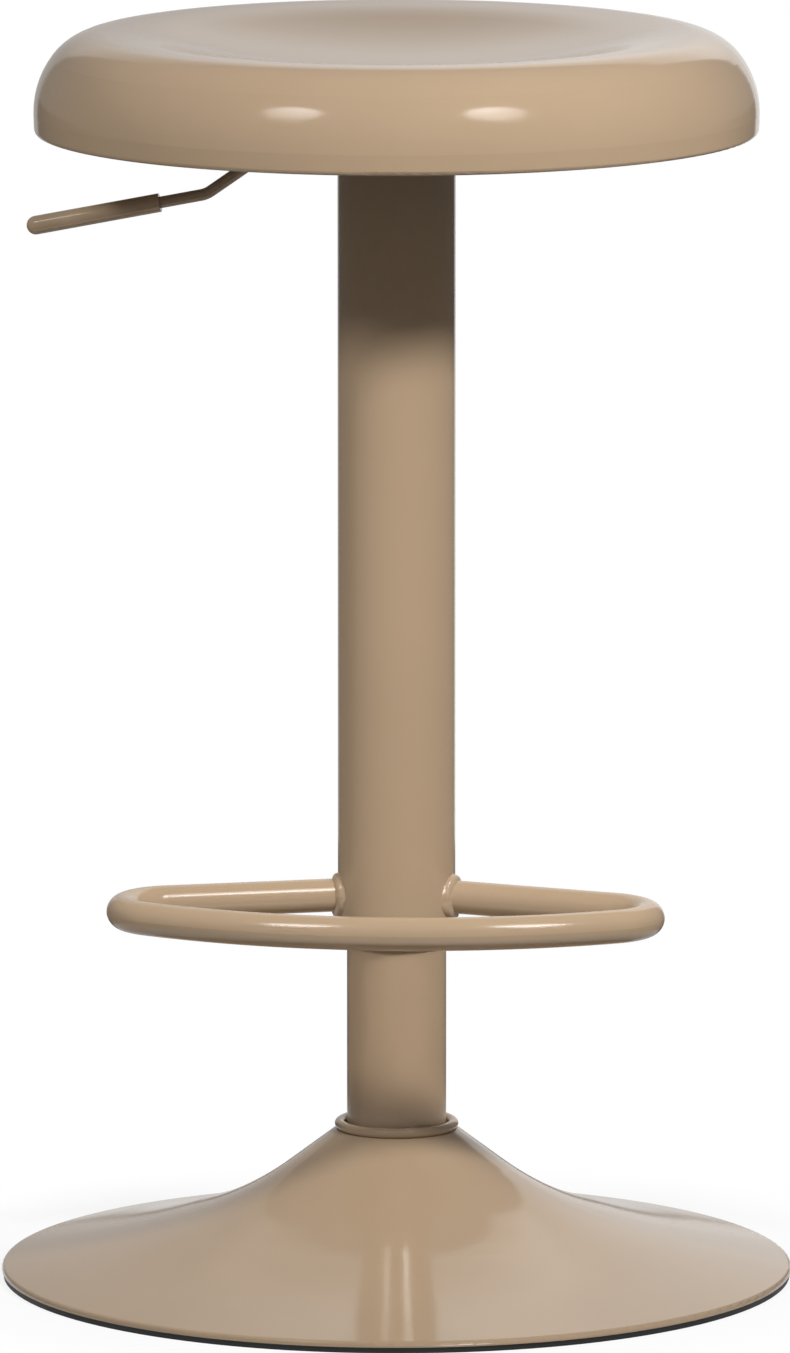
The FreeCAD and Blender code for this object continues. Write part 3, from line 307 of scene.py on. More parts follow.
# %% Paper sweep
SWEEP_RADIUS = 1.3
SWEEP_TOP = 1.6
SWEEP_RIGHT_LOW, SWEEP_RIGHT_HIGH = 156, 147   # azimuths from the camera's: its leaning right
SWEEP_LEFT = 207                               # edge at the bottom and top, and its left edge
SWEEP_GLOW = 1.22                              # at its brightest
SWEEP_FOOT, SWEEP_HEAD, SWEEP_SIDE = 0.76, 0.68, 0.50   # shares left at the foot, head and left
FOOT_HEIGHT, FULL_HEIGHT = 0.80, 1.05          # the foot's share goes up to the first height,
                                               # and the full glow is at the second
SIDE_START, SIDE_END = 0.3, -0.6               # the x between which it falls off to the left
SWEEP_ROWS, SWEEP_COLUMNS = 5, 61


def sweep_grid():
    """Points on part of an upright cylinder: height goes up the rows, azimuth along them.

    In each row the azimuth goes evenly from the right edge, which leans, to the left one.
    """
    up, across = np.meshgrid(np.linspace(0, 1, SWEEP_ROWS), np.linspace(0, 1, SWEEP_COLUMNS),
                             indexing="ij")
    right = SWEEP_RIGHT_LOW + (SWEEP_RIGHT_HIGH - SWEEP_RIGHT_LOW) * up
    turn = np.radians(CAMERA_AZIMUTH + right + (SWEEP_LEFT - right) * across)
    return np.stack([SWEEP_RADIUS * np.sin(turn), -SWEEP_RADIUS * np.cos(turn), SWEEP_TOP * up],
                    axis=-1)


def sweep_material():
    """A glow that is fullest above the seat, times the shares left below, above and leftwards."""
    material, g = new_graph("paper_sweep")
    sideways = g.node("ShaderNodeSeparateXYZ", None, {0: g.object_place()}, out="X")
    height = sideways.other("Z")
    foot = 1 - (1 - SWEEP_FOOT) * g.ramp(height, FULL_HEIGHT, FOOT_HEIGHT)
    head = 1 - (1 - SWEEP_HEAD) * g.ramp(height, FULL_HEIGHT, SWEEP_TOP)
    side = 1 - (1 - SWEEP_SIDE) * g.ramp(sideways, SIDE_START, SIDE_END)
    glow = g.node("ShaderNodeEmission", None, {"Color": SWEEP_GLOW * foot * head * side})
    g.node("ShaderNodeOutputMaterial", None, {"Surface": glow})
    return material


corner = np.arange(SWEEP_ROWS * SWEEP_COLUMNS).reshape(SWEEP_ROWS, SWEEP_COLUMNS)
sweep_quads = np.stack([corner[:-1, :-1], corner[:-1, 1:], corner[1:, 1:], corner[1:, :-1]],
                       axis=-1)
sweep_mesh = bpy.data.meshes.new("sweep")
sweep_mesh.from_pydata(sweep_grid().reshape(-1, 3), [], sweep_quads.reshape(-1, 4).tolist())
sweep_mesh.materials.append(sweep_material())
sweep = link("sweep", sweep_mesh)
sweep.visible_camera = sweep.visible_diffuse = sweep.visible_shadow = False
print("paper sweep:", len(sweep_mesh.polygons), "faces")

# %% [markdown]
# ## Lamps
# Two softboxes stand close in front, a strong one on the right and a weaker one on the left.
# Being close, they look down more steeply on the footrest than on the seat, and so the shadows
# of the two fall as they do. A lamp could both throw the shadows and show in the gloss, but
# here each does only one of them. The shadow's edge on the sleeve and the oval highlights on
# the seat's roll can then be set apart. A level of 1 is a bare lamp that lights a white card
# at the origin, turned to face it, to full white. A narrower spread throws the same light into
# a tighter cone, which keeps the panels out of the dish when it is seen from behind. A low
# lamp at the back keeps that side from going dark and adds nothing in front.

# %% Softboxes
LAMP_AIM = Vector((0, 0, 0.16))


def softbox(name, azimuth, away, height, size, level, lights, spread=180):
    """An oval area lamp, `away` metres from the column and aimed a little above the base.

    Azimuth is from the camera's side and size is (across, tall) in metres. What it lights is
    "matte" or "gloss".
    """
    lamp = link(name, bpy.data.lights.new(name, "AREA"))
    lamp.data.shape = "ELLIPSE"
    lamp.data.size, lamp.data.size_y = size
    lamp.data.spread = math.radians(spread)
    place = beside_column(CAMERA_AZIMUTH + azimuth, away, height)
    lamp.data.energy = level * math.pi ** 2 * place.length_squared
    look_at(lamp, place, LAMP_AIM)
    lamp.visible_camera = False
    lamp.visible_diffuse = lights == "matte"
    lamp.visible_glossy = lamp.visible_transmission = lights == "gloss"
    print(f"{name}: {lamp.data.energy:.1f} W at", [round(x, 2) for x in place])
    return lamp


softbox("key_right", azimuth=36, away=1.0, height=1.17, size=(0.34, 0.14), level=0.088,
        lights="matte", spread=70)
softbox("fill_left", azimuth=-36, away=1.0, height=1.15, size=(0.30, 0.16), level=0.043,
        lights="matte", spread=70)
softbox("panel_right", azimuth=34, away=1.17, height=1.47, size=(0.44, 0.40), level=0.0050,
        lights="gloss", spread=40)
softbox("panel_left", azimuth=-36, away=1.17, height=1.47, size=(0.42, 0.36), level=0.0037,
        lights="gloss", spread=40)
softbox("back_fill", azimuth=180, away=2.0, height=0.30, size=(1.0, 0.60), level=0.45,
        lights="matte")

# %% [markdown]
# ## Strips for the column and the footrest
# The flat part of the base mirrors the column, and in that mirror image run two bright lines:
# lamps, seen first in the column and then in the base. Paint keeps so little of the light at
# each of the two bounces that the lamps for it must be strong and narrow. The footrest's tube
# is thin, so the panels alone show in it as hairlines, and a taller pair widens them. Light
# linking gives each pair to its own pieces alone. Without it, the seat would show them too.

# %% Linked strips
def lit_alone(name, lamps, pieces):
    """Light linking: the lamps reach the listed pieces and no others."""
    chosen = bpy.data.collections.new(name)
    for linked in pieces:
        chosen.objects.link(linked)
    for lamp in lamps:
        lamp.light_linking.receiver_collection = lamp.light_linking.blocker_collection = chosen
    return chosen


strips = [softbox("strip_right", azimuth=31, away=1.5, height=1.40, size=(0.15, 0.90),
                  level=0.75, lights="gloss"),
          softbox("strip_left", azimuth=-29, away=1.5, height=1.40, size=(0.15, 0.90),
                  level=0.42, lights="gloss")]
tall_panels = [softbox("tall_right", azimuth=34, away=1.17, height=1.47, size=(0.44, 0.90),
                       level=0.12, lights="gloss"),
               softbox("tall_left", azimuth=-36, away=1.17, height=1.47, size=(0.42, 0.90),
                       level=0.10, lights="gloss")]
lit_alone("lit_by_strips", strips, [frame["nodes"]["column_tube"]])
lit_by_tall_panels = lit_alone("lit_by_tall_panels", tall_panels, [frame["nodes"]["footrest_bar"]])

# %% [markdown]
# ## What every finish shares
# One Principled shader with a colour, a roughness and a bump serves every piece here. The
# record gives each finish its base colour. These helpers make it darker or lighter, turn a
# noise into a bumped normal, and close the graph. Fine grain could be modelled in the mesh,
# but that would take millions of faces, and a Bump node costs none.

# %% Finish helpers
slot_colour = {m["slot"]: (*m["base_color"], 1.0) for m in frame["record"]["materials"]}


def shade(colour, factor):
    """A colour made darker or lighter, with its alpha kept."""
    return (*[min(1.0, channel * factor) for channel in colour[:3]], 1.0)


def toned(g, mask, colour, dark, light):
    """A colour times one factor where the mask is 0 and times another where it is 1."""
    return g.colour_mix(mask, shade(colour, dark), shade(colour, light))


def bump(g, height, depth):
    """A Bump normal from a height of 0 to 1 and its depth in metres."""
    return g.node("ShaderNodeBump", None, {"Strength": 1.0, "Distance": depth, "Height": height},
                  out="Normal")


def finish(g, sockets):
    """The Principled shader and the material's output."""
    surface = g.node("ShaderNodeBsdfPrincipled", None, sockets)
    g.node("ShaderNodeOutputMaterial", None, {"Surface": surface})


print("the record's finishes:", list(slot_colour))

# %% [markdown]
# ## Powder coat
# The seat, the tubes and the base are powder coated: a coloured polyester film, baked until it
# flows. It is glossy but not mirror-flat. The film keeps a gentle orange peel a couple of
# millimetres across, its gloss varies a little, and wide clouds and fine flecks of pigment
# change its tone. The paint comes in a lit and a shaded copy. The tubes are painted a little
# lighter, and the parts of sheet metal a shade darker, which is painted shade on their broad
# upturned faces. A texture of all this would need unwrapping. Noise on object
# coordinates needs none, and fits every piece at the real scale. Diffuse Roughness makes the
# colour under the gloss more even from the lit side to the shaded one, as pigment does.

# %% Powder coat
PAINT_ROUGHNESS = 0.12
ROUGHNESS_SPREAD = 0.04     # from the glossiest patch to the dullest
PAINT_IOR = 1.55
PAINT_FLATNESS = 0.3        # the colour's Diffuse Roughness
TONE_SPREAD = 0.025         # lighter, and as much darker
CLOUDS_PER_METRE = 14.0
FLECKS_PER_METRE = 2600.0
CLOUD_SHARE = 0.7           # of the tone's noise, and the flecks have the rest
DRIFT_LOW, DRIFT_HIGH = 0.25, 0.75      # levels of that noise at the darkest and lightest tone
PATCHES_PER_METRE = 60.0    # of more and less gloss
PEEL_WIDTH = 2.2 * MM
PEEL_DEPTH = 0.004 * MM
# lit and shaded copies of one paint: painted light on the tubes, painted shade on the sheet parts
TUBE_PAINTED_LIGHT, SHEET_PAINTED_SHADE = 1.04, 0.97
SHEET_NODES = ("seat_shell", "base_shell", "column_collar")


def powder_coat(name, tone):
    """Glossy paint: a tone from clouds and flecks, a roughness from patches, and the peel."""
    material, g = new_graph(name)
    place = g.object_place()
    clouds = g.noise(place, CLOUDS_PER_METRE, detail=3.0)
    flecks = g.noise(place, FLECKS_PER_METRE, detail=1.0)
    drift = g.ramp(CLOUD_SHARE * clouds + (1 - CLOUD_SHARE) * flecks, DRIFT_LOW, DRIFT_HIGH)
    tan = shade(slot_colour["tan_paint"], tone)
    patches = g.noise(place, PATCHES_PER_METRE, detail=2.0)
    peel = g.noise(place, 1 / PEEL_WIDTH, detail=1.5, roughness=0.4)
    finish(g, {"Base Color": toned(g, drift, tan, dark=1 - TONE_SPREAD, light=1 + TONE_SPREAD),
               "Roughness": PAINT_ROUGHNESS - ROUGHNESS_SPREAD / 2 + ROUGHNESS_SPREAD * patches,
               "IOR": PAINT_IOR, "Diffuse Roughness": PAINT_FLATNESS,
               "Normal": bump(g, peel, PEEL_DEPTH)})
    return material


# the tubes take the lighter copy, and the sheet parts take the copy with painted shade
FINISHES = {"tan_paint": powder_coat("powder_coat_tubes_painted_light", TUBE_PAINTED_LIGHT)}
SHEET_COAT_WITH_PAINTED_SHADE = powder_coat("powder_coat_sheet_painted_shade", SHEET_PAINTED_SHADE)
print("powder coat:", [round(c, 3) for c in slot_colour["tan_paint"][:3]])

# %% [markdown]
# ## Plastics and rubber
# The grip is moulded in the paint's colour, a shade darker, and its gloss is softer. The guide
# bushes are black nylon straight from the mould. The ring under the base and the buffer on the
# rod are rubber: dull, almost black, with a fine grain and a dusty bloom in patches. Three
# graphs by hand would be nearly the same, so one function makes all three from their measures.

# %% Plastics and rubber
BLOOM_PER_METRE = 35.0      # patches of dust
BLOOM_START, BLOOM_FULL = 0.35, 0.80    # levels of the noise between which a patch fades in
BLOOM_LIGHT = 1.25          # its colour, as a share of the clean one's
BLOOM_DULLING = 0.12        # added to the roughness from clean to dusty


def moulded(name, slot, roughness, grain, depth):
    """A plastic or rubber: even colour, soft gloss and a fine grain of one width."""
    material, g = new_graph(name)
    place = g.object_place()
    bloom = g.ramp(g.noise(place, BLOOM_PER_METRE, detail=4.0), BLOOM_START, BLOOM_FULL)
    skin = g.noise(place, 1 / grain, detail=2.0)
    finish(g, {"Base Color": toned(g, bloom, slot_colour[slot], dark=1.0, light=BLOOM_LIGHT),
               "Roughness": roughness + BLOOM_DULLING * (bloom - 0.5),
               "Normal": bump(g, skin, depth)})
    return material


FINISHES["tan_grip"] = moulded("grip_plastic", "tan_grip", roughness=0.12,
                               grain=1.5 * MM, depth=0.002 * MM)
FINISHES["bush_plastic"] = moulded("bush_nylon", "bush_plastic", roughness=0.42,
                                   grain=0.5 * MM, depth=0.01 * MM)
FINISHES["black_rubber"] = moulded("foot_rubber", "black_rubber", roughness=0.62,
                                   grain=0.35 * MM, depth=0.03 * MM)
print("moulded finishes:", [FINISHES[s].name for s in ("tan_grip", "bush_plastic", "black_rubber")])

# %% [markdown]
# ## Satin enamel
# The plate under the seat and the gas spring are enamelled satin black. A plain black would
# look like a hole, so wide clouds change its tone and its gloss together: where the film is
# thicker it is lighter and duller.

# %% Satin enamel
ENAMEL_CLOUDS_PER_METRE = 40.0
ENAMEL_ROUGHNESS, ENAMEL_DULLING = 0.32, 0.12   # in the glossiest place, and added by the clouds
ENAMEL_GRAIN = 0.8 * MM
ENAMEL_GRAIN_DEPTH = 0.008 * MM


def black_enamel():
    """Satin black with clouds of tone and gloss, and a fine grain."""
    material, g = new_graph("black_enamel")
    place = g.object_place()
    clouds = g.noise(place, ENAMEL_CLOUDS_PER_METRE, detail=4.0)
    grain = g.noise(place, 1 / ENAMEL_GRAIN, detail=2.0)
    finish(g, {"Base Color": toned(g, clouds, slot_colour["dark_paint"], dark=0.85, light=1.3),
               "Roughness": ENAMEL_ROUGHNESS + ENAMEL_DULLING * clouds,
               "Normal": bump(g, grain, ENAMEL_GRAIN_DEPTH)})
    return material


FINISHES["dark_paint"] = black_enamel()
print("enamel:", FINISHES["dark_paint"].name)

# %% [markdown]
# ## Zinc plate
# Screws, nuts and washers are zinc plated, which mottles the steel in soft patches of slightly
# different gloss. Noise alone would blur them, so a Voronoi texture gives the patches their
# edges, one level of gloss to each cell, and a noise adds the haze over them.

# %% Zinc plate
ZINC_PATCH = 1.6 * MM
ZINC_ROUGHNESS = 0.26
ZINC_PATCH_DULLING, ZINC_HAZE_DULLING = 0.10, 0.08
ZINC_HAZE_PER_METRE = 220.0
ZINC_HAZE_DEPTH = 0.006 * MM


def zinc_plate():
    """Bright metal whose roughness is a base, a step for each cell and the haze."""
    material, g = new_graph("zinc_plate")
    place = g.object_place()
    cells = g.node("ShaderNodeTexVoronoi", {"feature": "F1"},
                   {"Vector": place, "Scale": 1 / ZINC_PATCH}, out="Color")
    patch = g.node("ShaderNodeSeparateColor", None, {"Color": cells}, out="Red")
    haze = g.noise(place, ZINC_HAZE_PER_METRE, detail=3.0)
    roughness = ZINC_ROUGHNESS + ZINC_PATCH_DULLING * patch + ZINC_HAZE_DULLING * haze
    finish(g, {"Base Color": toned(g, haze, slot_colour["zinc_steel"], dark=0.86, light=1.12),
               "Metallic": 1.0, "Roughness": roughness,
               "Normal": bump(g, haze, ZINC_HAZE_DEPTH)})
    return material


FINISHES["zinc_steel"] = zinc_plate()
print("zinc plate:", FINISHES["zinc_steel"].name)

# %% [markdown]
# ## Ground steel
# The piston rod and the bearing races are ground: the wheel leaves fine lines round the axis.
# An Anisotropic value would stretch the highlight and show no line. Here a noise is squeezed
# along Z until it is all lines, and they change the colour, the gloss and the normal.

# %% Ground steel
GRINDING_PITCH = 0.12 * MM
GRINDING_ACROSS = 30.0      # features in a metre along a line
GRINDING_ROUGHNESS, GRINDING_DULLING = 0.14, 0.16
GRINDING_DEPTH = 0.002 * MM


def ground_steel():
    """Bright metal with a noise that changes fast along Z and slowly across."""
    material, g = new_graph("ground_steel")
    squeeze = (GRINDING_ACROSS, GRINDING_ACROSS, 1 / GRINDING_PITCH)
    squeezed = g.node("ShaderNodeMapping", None, {"Vector": g.object_place(), "Scale": squeeze})
    lines = g.noise(squeezed, 1.0, detail=3.0, roughness=0.7)
    finish(g, {"Base Color": toned(g, lines, slot_colour["bright_steel"], dark=0.92, light=1.06),
               "Metallic": 1.0, "Roughness": GRINDING_ROUGHNESS + GRINDING_DULLING * lines,
               "Normal": bump(g, lines, GRINDING_DEPTH)})
    return material


FINISHES["bright_steel"] = ground_steel()
print("ground steel:", FINISHES["bright_steel"].name)

# %% [markdown]
# ## Surfaces from numpy
# Each new piece is a grid of points worked out as whole arrays: one parameter runs along the
# section and the other runs round it. Extruding and spinning by hand would make the same
# faces, but a formula can bend them to the angle and the height. A grid's rows close on
# themselves, and a row that has shrunk to a point becomes a pole when doubles are merged.

# %% Grids into meshes
def around(count):
    """Angles of a full turn, without the last one, which would repeat the first."""
    return np.linspace(0, 2 * np.pi, count, endpoint=False)


def turned(radius, angle, height):
    """Points round the Z axis from radius, angle and height, which may each be one row."""
    radius, angle, height = np.broadcast_arrays(radius, angle, height)
    return np.stack([radius * np.cos(angle), radius * np.sin(angle), height], axis=-1)


def quads(rows, columns, wrap_rows):
    """Corner numbers of a grid's quads. Columns always wrap, and rows do if asked."""
    index = np.arange(rows * columns).reshape(rows, columns)
    beside = np.roll(index, -1, axis=1)
    above = np.roll(index, -1, axis=0)
    above_beside = np.roll(above, -1, axis=1)
    corners = np.stack([index, beside, above_beside, above], axis=-1)
    return (corners if wrap_rows else corners[:-1]).reshape(-1, 4)


def grid_mesh(name, grids, wrap_rows, sharp_degrees=40.0):
    """One mesh from (rows, columns, 3) grids: merged, closed and with its faces outwards."""
    shape = bmesh.new()
    for points in grids:
        rows, columns = points.shape[:2]
        part = bpy.data.meshes.new("part")
        part.from_pydata(points.reshape(-1, 3), [], quads(rows, columns, wrap_rows).tolist())
        shape.from_mesh(part)
        bpy.data.meshes.remove(part)
    bmesh.ops.remove_doubles(shape, verts=shape.verts, dist=0.001 * MM)
    bmesh.ops.recalc_face_normals(shape, faces=shape.faces)
    mesh = bpy.data.meshes.new(name)
    shape.to_mesh(mesh)
    shape.free()
    mesh.shade_smooth()
    mesh.set_sharp_from_angle(angle=math.radians(sharp_degrees))
    return mesh


print("a grid of 2 x 3 points has", len(quads(2, 3, wrap_rows=False)), "quads")

# %% [markdown]
# ## Pieces and their places
# A new piece rides on the body that moves it and stands for one of the CAD pieces. Its place
# could be typed in, but then it would be wrong as soon as a size changes in CAD. So it comes
# from the CAD pieces' own boxes, as far as a box can tell it. The sections below work in
# millimetres, and their grids end in metres.

# %% Pieces
def box_mm(node):
    """A CAD node's lowest and highest corners, in millimetres."""
    low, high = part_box(node)
    return np.array(low) / MM, np.array(high) / MM


def piece(name, mesh, slot, body, *replaced):
    """A finished piece: its material, its body and the CAD node that it stands for."""
    made = link(name, mesh)
    mesh.materials.append(FINISHES[slot])
    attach(made, body)
    if replaced:
        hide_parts(*replaced)
    mesh.calc_loop_triangles()
    print(name, len(mesh.vertices), "points,", len(mesh.loop_triangles), "triangles")
    return made


sleeve_low, sleeve_high = box_mm("sleeve_tube")
SLEEVE_RADIUS = (sleeve_high[0] - sleeve_low[0]) / 2
bar_low, bar_high = box_mm("footrest_bar")
BAR_RADIUS = (bar_high[2] - bar_low[2]) / 2
BAR_Z = (bar_high[2] + bar_low[2]) / 2
print("sleeve radius", round(SLEEVE_RADIUS, 3), "mm, bar radius", round(BAR_RADIUS, 3), "mm")

# %% [markdown]
# ## Where an arm meets the sleeve
# The footrest's tube ends in two arms, which are welded to the sleeve all round. A round arm
# meets a round sleeve in a saddle-shaped curve. A torus laid there would look machined and
# stand off the sleeve at its sides, and a boolean would give the curve as loose points. It is
# simple to work out instead: lines along the arm, one at each angle round it, run until they
# meet the sleeve's cylinder.

# %% Joint curve
ARM_ANGLE = 18.7        # degrees, how far the arms sweep forward
ARM_ORIGIN = 3.5        # millimetres behind the column's axis, where the arms would meet


def joint_curve(radius, angle, run):
    """Where an arm of a radius that runs one way meets the sleeve, by angle round the arm.

    Each line goes along the arm to its point nearest the column's axis, and from there on by
    half a chord of the sleeve's circle.
    """
    sideways = radius * np.cos(angle)
    x = -run[1] * sideways
    y = ARM_ORIGIN + run[0] * sideways
    nearest = -(x * run[0] + y * run[1])
    half_chord = np.sqrt(nearest ** 2 - (x ** 2 + y ** 2 - SLEEVE_RADIUS ** 2))
    along = nearest + half_chord
    return np.stack([x + along * run[0], y + along * run[1], BAR_Z + radius * np.sin(angle)],
                    axis=-1)


def arm_run(side):
    """The arm's direction: to the right for a side of 1, to the left for -1, and forward."""
    tilt = math.radians(ARM_ANGLE)
    return np.array([side * math.cos(tilt), -math.sin(tilt), 0.0])


arm_joint = joint_curve(BAR_RADIUS, around(72), arm_run(1))
print("the joint spans", np.round(np.ptp(arm_joint, axis=0), 1), "mm in x, y and z")

# %% [markdown]
# ## Weld beads
# The paint has flowed over the welds and softened them. A bead's section is a bulge from the
# arm down to the sleeve, carried along the joint curve. A sculpted bead would be lost with
# each change of the joint. Here slow waves change its width and height, as a welder's hand
# does, and its root lies in the metal so that no gap shows. The beads shine as the tube does,
# so the tall panels light them too.

# %% Weld beads
BEAD_REACH = 3.4        # millimetres along the arm and over the sleeve
BEAD_BULGE = 0.9
BEAD_SINK = 0.5         # how deep the bead's root lies in the metal
REACH_WAVES = (((2, 3, 5), 0.5), ((9, 13), 0.12))       # waves in a turn, and their size
BULGE_WAVES = (((3, 7), 0.25), ((15, 21), 0.08))
BEAD_ROUND, BEAD_ACROSS = 160, 18


def waves(angle, rng, layers):
    """Layers added up, where each is the mean of its sines, at random phases, times its size."""
    total = np.zeros_like(angle)
    for turns, size in layers:
        phases = rng.uniform(0, 2 * np.pi, len(turns))
        total += size * np.sin(np.outer(turns, angle) + phases[:, None]).mean(axis=0)
    return total


def weld_bead(side, seed):
    """The bead's section runs from the arm over the bulge to the sleeve and back at the root.

    Its end on the arm is the joint moved along the arm by the reach. Its end on the sleeve is
    the joint of an arm that is thicker by the reach. The bulge is half a sine wave, outwards
    from the straight line between the two.
    """
    rng = np.random.default_rng(seed)
    angle = around(BEAD_ROUND)
    run = arm_run(side)
    reach = BEAD_REACH + waves(angle, rng, REACH_WAVES)
    bulge = BEAD_BULGE + waves(angle, rng, BULGE_WAVES)
    joint = joint_curve(BAR_RADIUS, angle, run)
    arm_end = joint + reach[:, None] * run
    sleeve_end = joint_curve(BAR_RADIUS + reach, angle, run)
    root = joint_curve(BAR_RADIUS - BEAD_SINK, angle, run) - BEAD_SINK * run
    out = (arm_end + sleeve_end) / 2 - joint
    out = out / np.linalg.norm(out, axis=1, keepdims=True)
    t = np.linspace(0, 1, BEAD_ACROSS)[:, None, None]
    skin = arm_end + (sleeve_end - arm_end) * t + (bulge[:, None] * out) * np.sin(np.pi * t)
    return np.concatenate([skin, root[None]]) * MM


bead_grids = [weld_bead(side=1, seed=11), weld_bead(side=-1, seed=12)]
bead_mesh = grid_mesh("weld_beads", bead_grids, wrap_rows=True, sharp_degrees=70)
weld_beads = piece("weld_beads", bead_mesh, "tan_paint", "carriage", "footrest_welds")
lit_by_tall_panels.objects.link(weld_beads)

# %% [markdown]
# ## A button-head screw
# Three button-head screws hold the sleeve on its socket, at the back. They are turned parts,
# and spinning a profile would make all of them but the hexagonal hole for the key. So each
# row of the profile has a round part and a share of a hexagon's radius, and the hole needs no
# boolean. The head's top is part of a ball, as on the real screw.

# %% Screw profile
HEAD_RADIUS, HEAD_HEIGHT = 4.5, 2.4     # millimetres
HEAD_EDGE = 0.05                        # the widest point, above the sleeve
HEAD_UNDER, UNDER_SHARE = -0.3, 0.93    # its underside, sunk in, and that one's share of radius
DOME_SHARES = np.linspace(0.97, 0.47, 9)        # of the head's radius
SHANK_RADIUS, SHANK_LENGTH = 2.45, 5.5
KEY_FLATS, KEY_DEPTH = 3.0, 1.5
KEY_BEVEL = 0.12                        # how much wider the hole is at its mouth
KEY_MOUTH, KEY_EDGE = 0.02, -0.1        # the bevel's top and bottom, from the dome's last row
KEY_CONE = 0.3                          # the drill's point below the hole
SCREW_ROUND = 72


def hexagon_radius(angle, flats):
    """Radius of a hexagon by angle: half its flats over the cosine from the nearest flat."""
    sector = np.pi / 3
    return flats / 2 / np.cos((angle + sector / 2) % sector - sector / 2)


def dome(share):
    """Height of the button over its seat, by share of the head's radius: a part of a ball."""
    ball = (HEAD_RADIUS ** 2 + HEAD_HEIGHT ** 2) / (2 * HEAD_HEIGHT)
    return np.sqrt(ball ** 2 - (share * HEAD_RADIUS) ** 2) - ball + HEAD_HEIGHT


def screw_grid():
    """Rows from the shank's end over the dome and down the hole for the key, along +Z.

    A row of the profile is a round part, a share and a height. Its radius by angle is the
    round part plus the share of the hexagon's radius.
    """
    top = dome(DOME_SHARES[-1])
    shank = [(0, 0, -SHANK_LENGTH), (SHANK_RADIUS, 0, -SHANK_LENGTH), (SHANK_RADIUS, 0, HEAD_UNDER)]
    head = [(UNDER_SHARE * HEAD_RADIUS, 0, HEAD_UNDER), (HEAD_RADIUS, 0, HEAD_EDGE)]
    button = np.stack([DOME_SHARES * HEAD_RADIUS, 0 * DOME_SHARES, dome(DOME_SHARES)], axis=-1)
    key = [(KEY_BEVEL, 1, top + KEY_MOUTH), (0, 1, top + KEY_EDGE), (0, 1, top - KEY_DEPTH),
           (0, 0, top - KEY_DEPTH - KEY_CONE)]
    round_part, share, height = np.concatenate([shank, head, button, key]).T[..., None]
    angle = around(SCREW_ROUND)
    return turned(round_part + share * hexagon_radius(angle, KEY_FLATS), angle, height)


print("the screw's profile has", len(screw_grid()), "rows")

# %% [markdown]
# ## Three screws round the sleeve
# The screws point straight out from the sleeve. Three linked copies of one object could be
# turned into place, but a finished piece keeps its place in its mesh and its object at the
# origin. So the grid itself is turned: its three directions become two across the new axis
# and the axis itself.

# %% Screws in place
SCREW_ANGLES = (30.0, 90.0, 150.0)      # degrees from +X, round the back


def stood(points, place, axis):
    """Turns a grid from +Z to a new axis, moves it to a place, and gives it in metres."""
    w = np.array(Vector(axis).normalized())
    helper = np.array([0.0, 0.0, 1.0]) if abs(w[2]) < 0.9 else np.array([1.0, 0.0, 0.0])
    u = np.cross(helper, w)
    u = u / np.linalg.norm(u)
    v = np.cross(w, u)
    return (np.array(place) + points @ np.stack([u, v, w])) * MM


screw_low, screw_high = box_mm("sleeve_screws")
screw_z = (screw_low[2] + screw_high[2]) / 2
screw_turns = np.radians(SCREW_ANGLES)
screw_places = turned(SLEEVE_RADIUS, screw_turns, screw_z)
screw_axes = turned(1.0, screw_turns, 0.0)
screws = [stood(screw_grid(), place, axis) for place, axis in zip(screw_places, screw_axes)]
piece("button_screws", grid_mesh("button_screws", screws, wrap_rows=False), "zinc_steel",
      "carriage", "sleeve_screws")

# %% [markdown]
# ## Hexagon bolts
# Four bolts go up through the plate under the seat. Their maker trims the corners of the head
# with a cone and rolls the thread. A Screw modifier makes a thread as a strip apart, which has
# to be joined to the rest. Here the radius depends on angle and height all the way: on the head
# it is the smaller of a hexagon and the cone, and on the shank a ridge climbs by one pitch in a
# turn. Head, thread and tip are then one closed grid.

# %% Hexagon bolts
BOLT_FLATS, BOLT_HEAD = 13.0, 5.3       # millimetres
FACE_SHARE, RING_SHARE = 0.94, 0.55     # the flat face, and a ring of points on it
CROWN_ANGLE = 30.0                      # degrees, the cone that trims the head's corners
CROWN_HEIGHTS = np.array([0.0, *np.linspace(0.1, 1.2, 8)])      # rows over the trimmed corners
BOLT_RADIUS = 3.95
TIP_TAPER = 0.8                         # the tip is this much thinner
THREAD_PITCH, THREAD_DEPTH = 1.25, 0.5
THREAD_START, THREAD_END = 0.2, 0.8     # bare shank under the head and at the tip
THREAD_STEPS = 8                        # rows in a pitch
BOLT_ROUND = 72

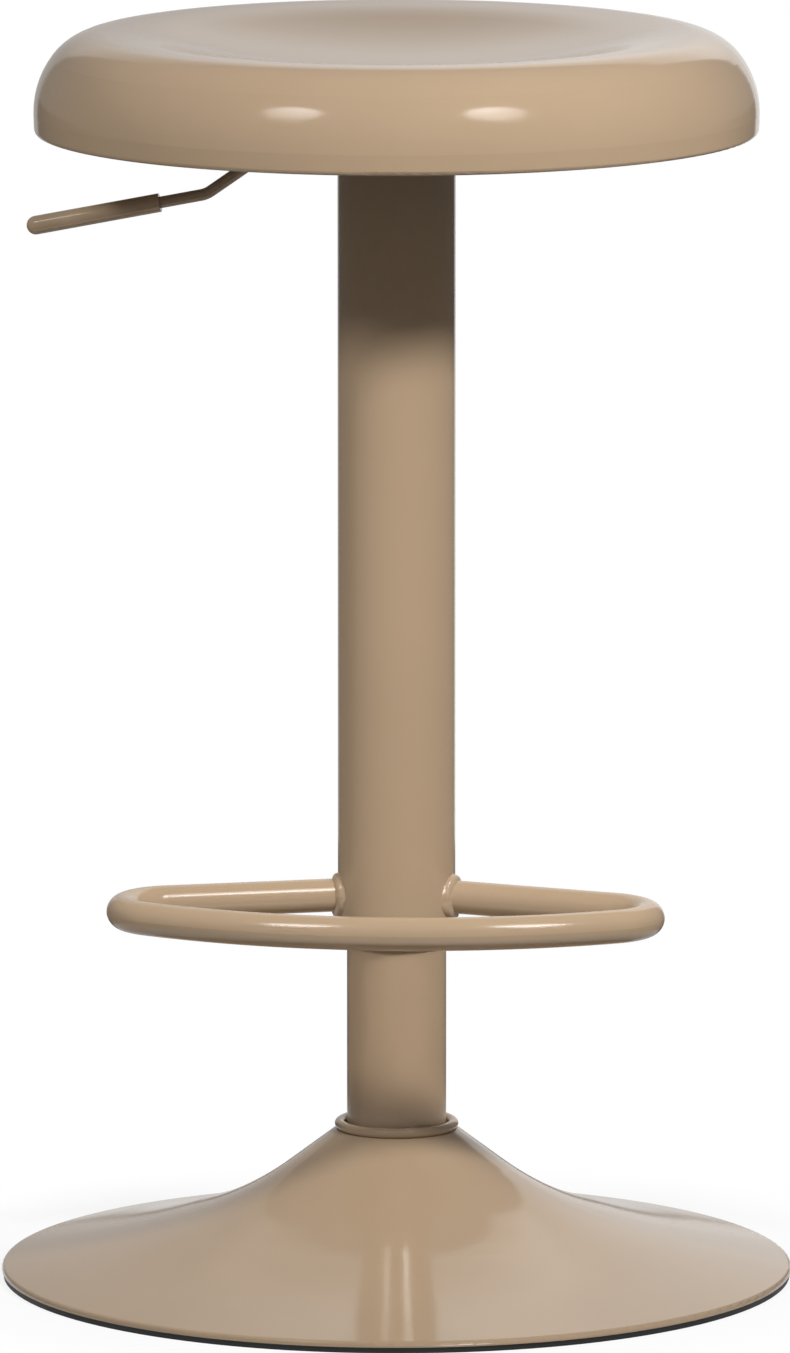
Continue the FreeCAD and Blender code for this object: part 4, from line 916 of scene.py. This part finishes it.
bolt_low, bolt_high = box_mm("seat_bolts")
bolt_x = bolt_high[0] - BOLT_FLATS / math.sqrt(3)
bolt_y = bolt_high[1] - BOLT_FLATS / 2


def bolt_grid(tip):
    """Rows from the head's face, over its trimmed corners, up the thread to the tip's height.

    The head's radius is the smaller of the hexagon and a cone that opens away from the face.
    The thread is a triangle wave of the height less the share of a turn, so it climbs.
    """
    angle = around(BOLT_ROUND)
    ones = np.ones_like(angle)
    hexagon = hexagon_radius(angle, BOLT_FLATS)
    face = FACE_SHARE * BOLT_FLATS / 2
    opening = CROWN_HEIGHTS[:, None] / math.tan(math.radians(CROWN_ANGLE))
    crown = np.minimum(hexagon, face + opening)
    lift = np.arange(BOLT_HEAD + THREAD_START, tip - THREAD_END, THREAD_PITCH / THREAD_STEPS)
    phase = (lift[:, None] / THREAD_PITCH - angle / (2 * np.pi)) % 1.0
    thread = BOLT_RADIUS - THREAD_DEPTH * (1 - np.abs(2 * phase - 1))
    radius = np.vstack([0 * ones, face * RING_SHARE * ones, crown, hexagon, BOLT_RADIUS * ones,
                        thread, (BOLT_RADIUS - TIP_TAPER) * ones, 0 * ones])
    height = np.hstack([0, 0, CROWN_HEIGHTS, BOLT_HEAD, BOLT_HEAD, lift, tip, tip])
    return turned(radius, angle, height[:, None])


bolts = [stood(bolt_grid(bolt_high[2] - bolt_low[2]), (x, y, bolt_low[2]), (0, 0, 1))
         for x in (-bolt_x, bolt_x) for y in (-bolt_y, bolt_y)]
piece("hexagon_bolts", grid_mesh("hexagon_bolts", bolts, wrap_rows=False, sharp_degrees=25),
      "zinc_steel", "carriage", "seat_bolts")

# %% [markdown]
# ## Finishes on the CAD pieces
# Each CAD piece arrives with one material slot, named after the finish that the record gives
# it. Its shape is right, so it isn't remodelled: it stays as it is and only its slots get the
# new materials. The parts of sheet metal take the darker copy of the paint, whose colour holds
# painted shade.

# %% Assign the finishes
for name, node in frame["nodes"].items():
    for held in node.material_slots:
        # sheet parts get the paint with painted shade, and the rest get their own finish
        held.material = SHEET_COAT_WITH_PAINTED_SHADE if name in SHEET_NODES else FINISHES[held.material.name]
print("finishes on", len(frame["nodes"]), "CAD nodes")
